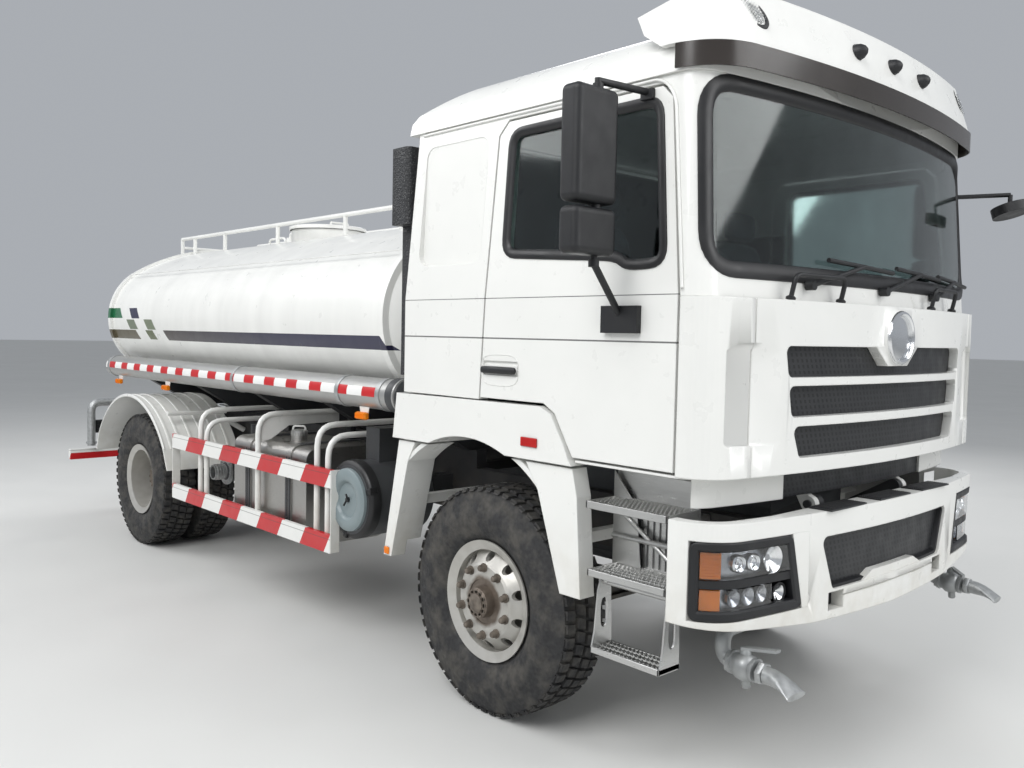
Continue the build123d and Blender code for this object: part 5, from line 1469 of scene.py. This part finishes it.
def nozzles():
    """Pipe to each front nozzle with its ball valve, lever and drain, and the flattened fan."""
    for side, way in SIDES.items():
        start, stop = (Vector((x, way * y, z)) for x, y, z in (PIPE[-1], PIPE_TIP))
        run = stop - start
        cast, bright = Mesh(), Mesh()
        cast.tube([(x, way * y, z) for x, y, z in PIPE] + [start + run * 0.3], PIPE_R, cut=0.06, steps=20)
        cast.box(way, (3.560, 3.640), (0.470, 0.530), (0.660, 0.745), 0.004)
        cast.lathe(VALVE, facing(start + run * 0.26, run), 32)
        for share in (0.10, 0.52):
            bright.lathe(COUPLING, facing(start + run * share, run), 6)
        hub = start + run * 0.32
        cast.lathe(STEM, facing(hub, UP), 20)
        spots = [hub + Vector((0.012 + a * 0.9, -way * a * 0.9, 0.074 - a * 0.10)) for a in LEVER_ROWS]
        cast.skinned([[spot + Vector((0, b * 0.016, c * 0.006)) for b, c in LEVER] for spot in spots])
        cast.lathe(DRAIN, facing(hub, (0.1, 0, -1)), 16)
        across = run.cross(UP).normalized()
        rings = []
        for share, width, height, drop in FAN:
            spot = start + run * share - UP * drop
            rings.append([spot + across * width * math.cos(t) + UP * height * math.sin(t) for t in turns(28)])
        bright.skinned(rings)
        cast.piece(f"nozzle_valve_{side}", "strut", smooth=45, node="spray_gear")
        bright.piece(f"nozzle_fan_{side}", "galvanised", smooth=45)


# Pump and its suction inlet, with sections as (along, radius)
PUMP_Y = -0.760
PUMP_Z = 0.800
SUCTION_X = -0.800
PUMP = ((-0.950, 0.0), (-0.950, 0.118), (-0.938, 0.140), (-0.915, 0.150), (-0.665, 0.150), (-0.650, 0.140),
        (-0.645, 0.072), (-0.560, 0.070), (-0.560, 0.0))
INLET = ((0.0, 0.080), (0.262, 0.080), (0.272, 0.066), (0.280, 0.056), (0.280, 0.0), (0.0, 0.0))
# Spray bar across the tail: its x, its bends as (y, z), and the section of a jet
BAR_X = -3.835
BAR = ((-1.020, 0.68), (-1.020, 1.11), (1.020, 1.11), (1.020, 0.68))
JET = ((0.030, 0.0), (0.030, 0.012), (0.052, 0.016), (0.058, 0.012), (0.058, 0.0))


def flange(mesh, place, bore, outer, thick, bolts):
    """Bolted flange about local z."""
    mesh.ring(place, (0, thick), (bore, outer), 40)
    reach = outer - 0.012
    for turn in turns(bolts):
        spot = place @ Matrix.Translation((reach * math.cos(turn), reach * math.sin(turn), thick))
        mesh.ring(spot, (0, 0.009), (0, 0.008))


def water_gear():
    """Pump with its flanges, suction inlet and riser, and the spray bar across the tail."""
    dark, bright = Mesh(), Mesh()
    dark.lathe(PUMP, facing((0, PUMP_Y, PUMP_Z), (1, 0, 0)), 48)
    for x in (-0.930, -0.800, -0.675):
        flange(dark, facing((x, PUMP_Y, PUMP_Z), (1, 0, 0)), 0.148, 0.172, 0.020, 12)
    out = facing((SUCTION_X, PUMP_Y, PUMP_Z), (0, -1, 0))
    dark.lathe(INLET, out, 40)
    bright.ring(out, (0.272, 0.370), (0.045, 0.055), 40)
    for a in (0.300, 0.322, 0.344):
        bright.lathe([(a, 0.054), (a + 0.003, 0.060), (a + 0.010, 0.060), (a + 0.013, 0.054)], out, 40)
    flange(bright, facing((SUCTION_X, PUMP_Y - 0.255, PUMP_Z), (0, -1, 0)), 0.060, 0.100, 0.016, 8)
    dark.block((-0.880, -0.640, 0.760), (-0.720, -0.430, 0.880), 0.006)
    dark.tube([(SUCTION_X, PUMP_Y, 0.90), (SUCTION_X, PUMP_Y, 1.14)], 0.060, steps=24)
    flange(bright, facing((SUCTION_X, PUMP_Y, 0.955), UP), 0.058, 0.092, 0.014, 8)
    bright.tube([(BAR_X, y, z) for y, z in BAR], 0.038, cut=0.09, steps=20)
    for i in range(12):
        bright.lathe(JET, facing((BAR_X, i * 0.17 - 0.935, 1.11), (-0.8, 0, -0.6)), 12)
    for way in SIDES.values():
        bright.ring(facing((BAR_X, way * 1.020, 0.70), UP), (0, 0.018), (0.036, 0.050), 24)
    dark.piece("water_pump", "drum", node="spray_gear")
    bright.piece("spray_bar", "galvanised", node="spray_gear")


# Tank top: bends of the loop handle and the vent as (x, z), and the lid's rings as (along, radius)
TANK_LOOP = ((-2.10, 2.60), (-2.10, 2.70), (-1.80, 2.70), (-1.80, 2.60))
VENT = ((-1.70, 2.66), (-1.70, 2.725), (-1.62, 2.725), (-1.62, 2.690))
LID_AT = (-1.075, 0.0, 2.701)
LID_RING = ((0.026, 0.0), (0.040, 0.0), (0.040, 0.012), (0.052, 0.022), (0.060, 0.018), (0.062, 0.0))
LID_RIM = ((0.024, 0.26), (0.032, 0.262), (0.032, 0.300), (0.022, 0.310), (0.0, 0.312), (0.0, 0.26))


def tank_details():
    """Weld beads, the loop handle, the vent's bent pipe, and the lid's knob and rim."""
    mesh = Mesh()
    for way in SIDES.values():
        mesh.tube([(-2.84, way * 1.006, 2.34), (1.39, way * 1.006, 2.34)], 0.0035, steps=6)
    mesh.tube([(x, 0.0, z) for x, z in TANK_LOOP], 0.011, cut=0.05)
    mesh.tube([(x, 0.0, z) for x, z in VENT], 0.020, cut=0.03)
    mesh.piece("tank_small_parts", "tank")
    lid = Mesh()
    place = facing(LID_AT, UP)
    lid.lathe(LID_RING, place, 24)
    lid.lathe(LID_RIM, place, 64)
    lid.piece("lid_rings", "tank", "manhole_lid")


def pads():
    """Ribbed pads on the bumper's top step."""
    mesh = Mesh()
    for y in (-0.430, 0.0, 0.430):
        for i in range(10):
            x = 3.739 + i * 0.0098
            mesh.block((x, y - 0.140, 1.175), (x + 0.005, y + 0.140, 1.180), 0.001)
    mesh.piece("pad_ribs", "seal", smooth=30)


# Stage. Soft boxes: place, what each points at, size, power
SOFT_BOXES = (
    ((4.0, -9.0, 9.0), (1.0, 0, 1.2), 7.0, 900),
    ((10.0, 1.5, 6.0), (2.0, 0, 1.2), 6.0, 420),
    ((-6.0, -6.0, 8.0), (-1.0, 0, 1.0), 6.0, 400),
    ((-3.0, 8.0, 7.0), (0, 0, 1.0), 6.0, 380),
)


def stage():
    """Pale floor, soft sky and area lamps."""
    bpy.ops.mesh.primitive_plane_add(size=240)
    floor = bpy.context.object
    floor.name = "floor"
    floor.data.materials.append(finish("pale_floor", (0.66, 0.66, 0.64), 0.7, drift=0.02, scale=0.4).mat)
    world = bpy.data.worlds.new("studio")
    world.use_nodes = True
    background = world.node_tree.nodes["Background"]
    background.inputs[0].default_value = (0.80, 0.84, 0.90, 1)
    background.inputs[1].default_value = 0.50
    bpy.context.scene.world = world
    for at, aim, size, watts in SOFT_BOXES:
        data = bpy.data.lights.new("soft_box", "AREA")
        data.size = size
        data.energy = watts
        light = bpy.data.objects.new("soft_box", data)
        light.matrix_world = facing(at, Vector(at) - Vector(aim))
        bpy.context.scene.collection.objects.link(light)


def camera():
    """Camera of the photograph."""
    level = math.cos(CAMERA_DIP)
    ahead = Vector((-math.sin(CAMERA_TURN) * level, math.cos(CAMERA_TURN) * level, -math.sin(CAMERA_DIP)))
    side = ahead.cross(UP).normalized()
    up = side.cross(ahead)
    right = side * math.cos(CAMERA_ROLL) + up * math.sin(CAMERA_ROLL)
    top = up * math.cos(CAMERA_ROLL) - side * math.sin(CAMERA_ROLL)
    data = bpy.data.cameras.new("camera")
    data.sensor_width = SENSOR_MM
    data.lens = FOCAL_PX / PHOTO_WIDTH_PX * SENSOR_MM
    view = bpy.data.objects.new("camera", data)
    view.matrix_world = Matrix.Translation(CAMERA_AT) @ Matrix((right, top, -ahead)).transposed().to_4x4()
    bpy.context.scene.collection.objects.link(view)
    bpy.context.scene.camera = view


bpy.context.scene.view_settings.view_transform = "Standard"
camera()
stage()
dress_nodes()
tyres()
wheel_nuts()
hubs()
seals()
cab_flanks()
fronts()
badge()
bumper_trim()
head_lamps()
tail_lamps()
visor_lamps()
screen_brackets()
mirror_faces()
seats()
air_cleaner_cover()
fuel_details()
guard_posts()
hose_details()
reflectors()
entry_steps()
mudguard_ribs()
nozzles()
water_gear()
tank_details()
pads()
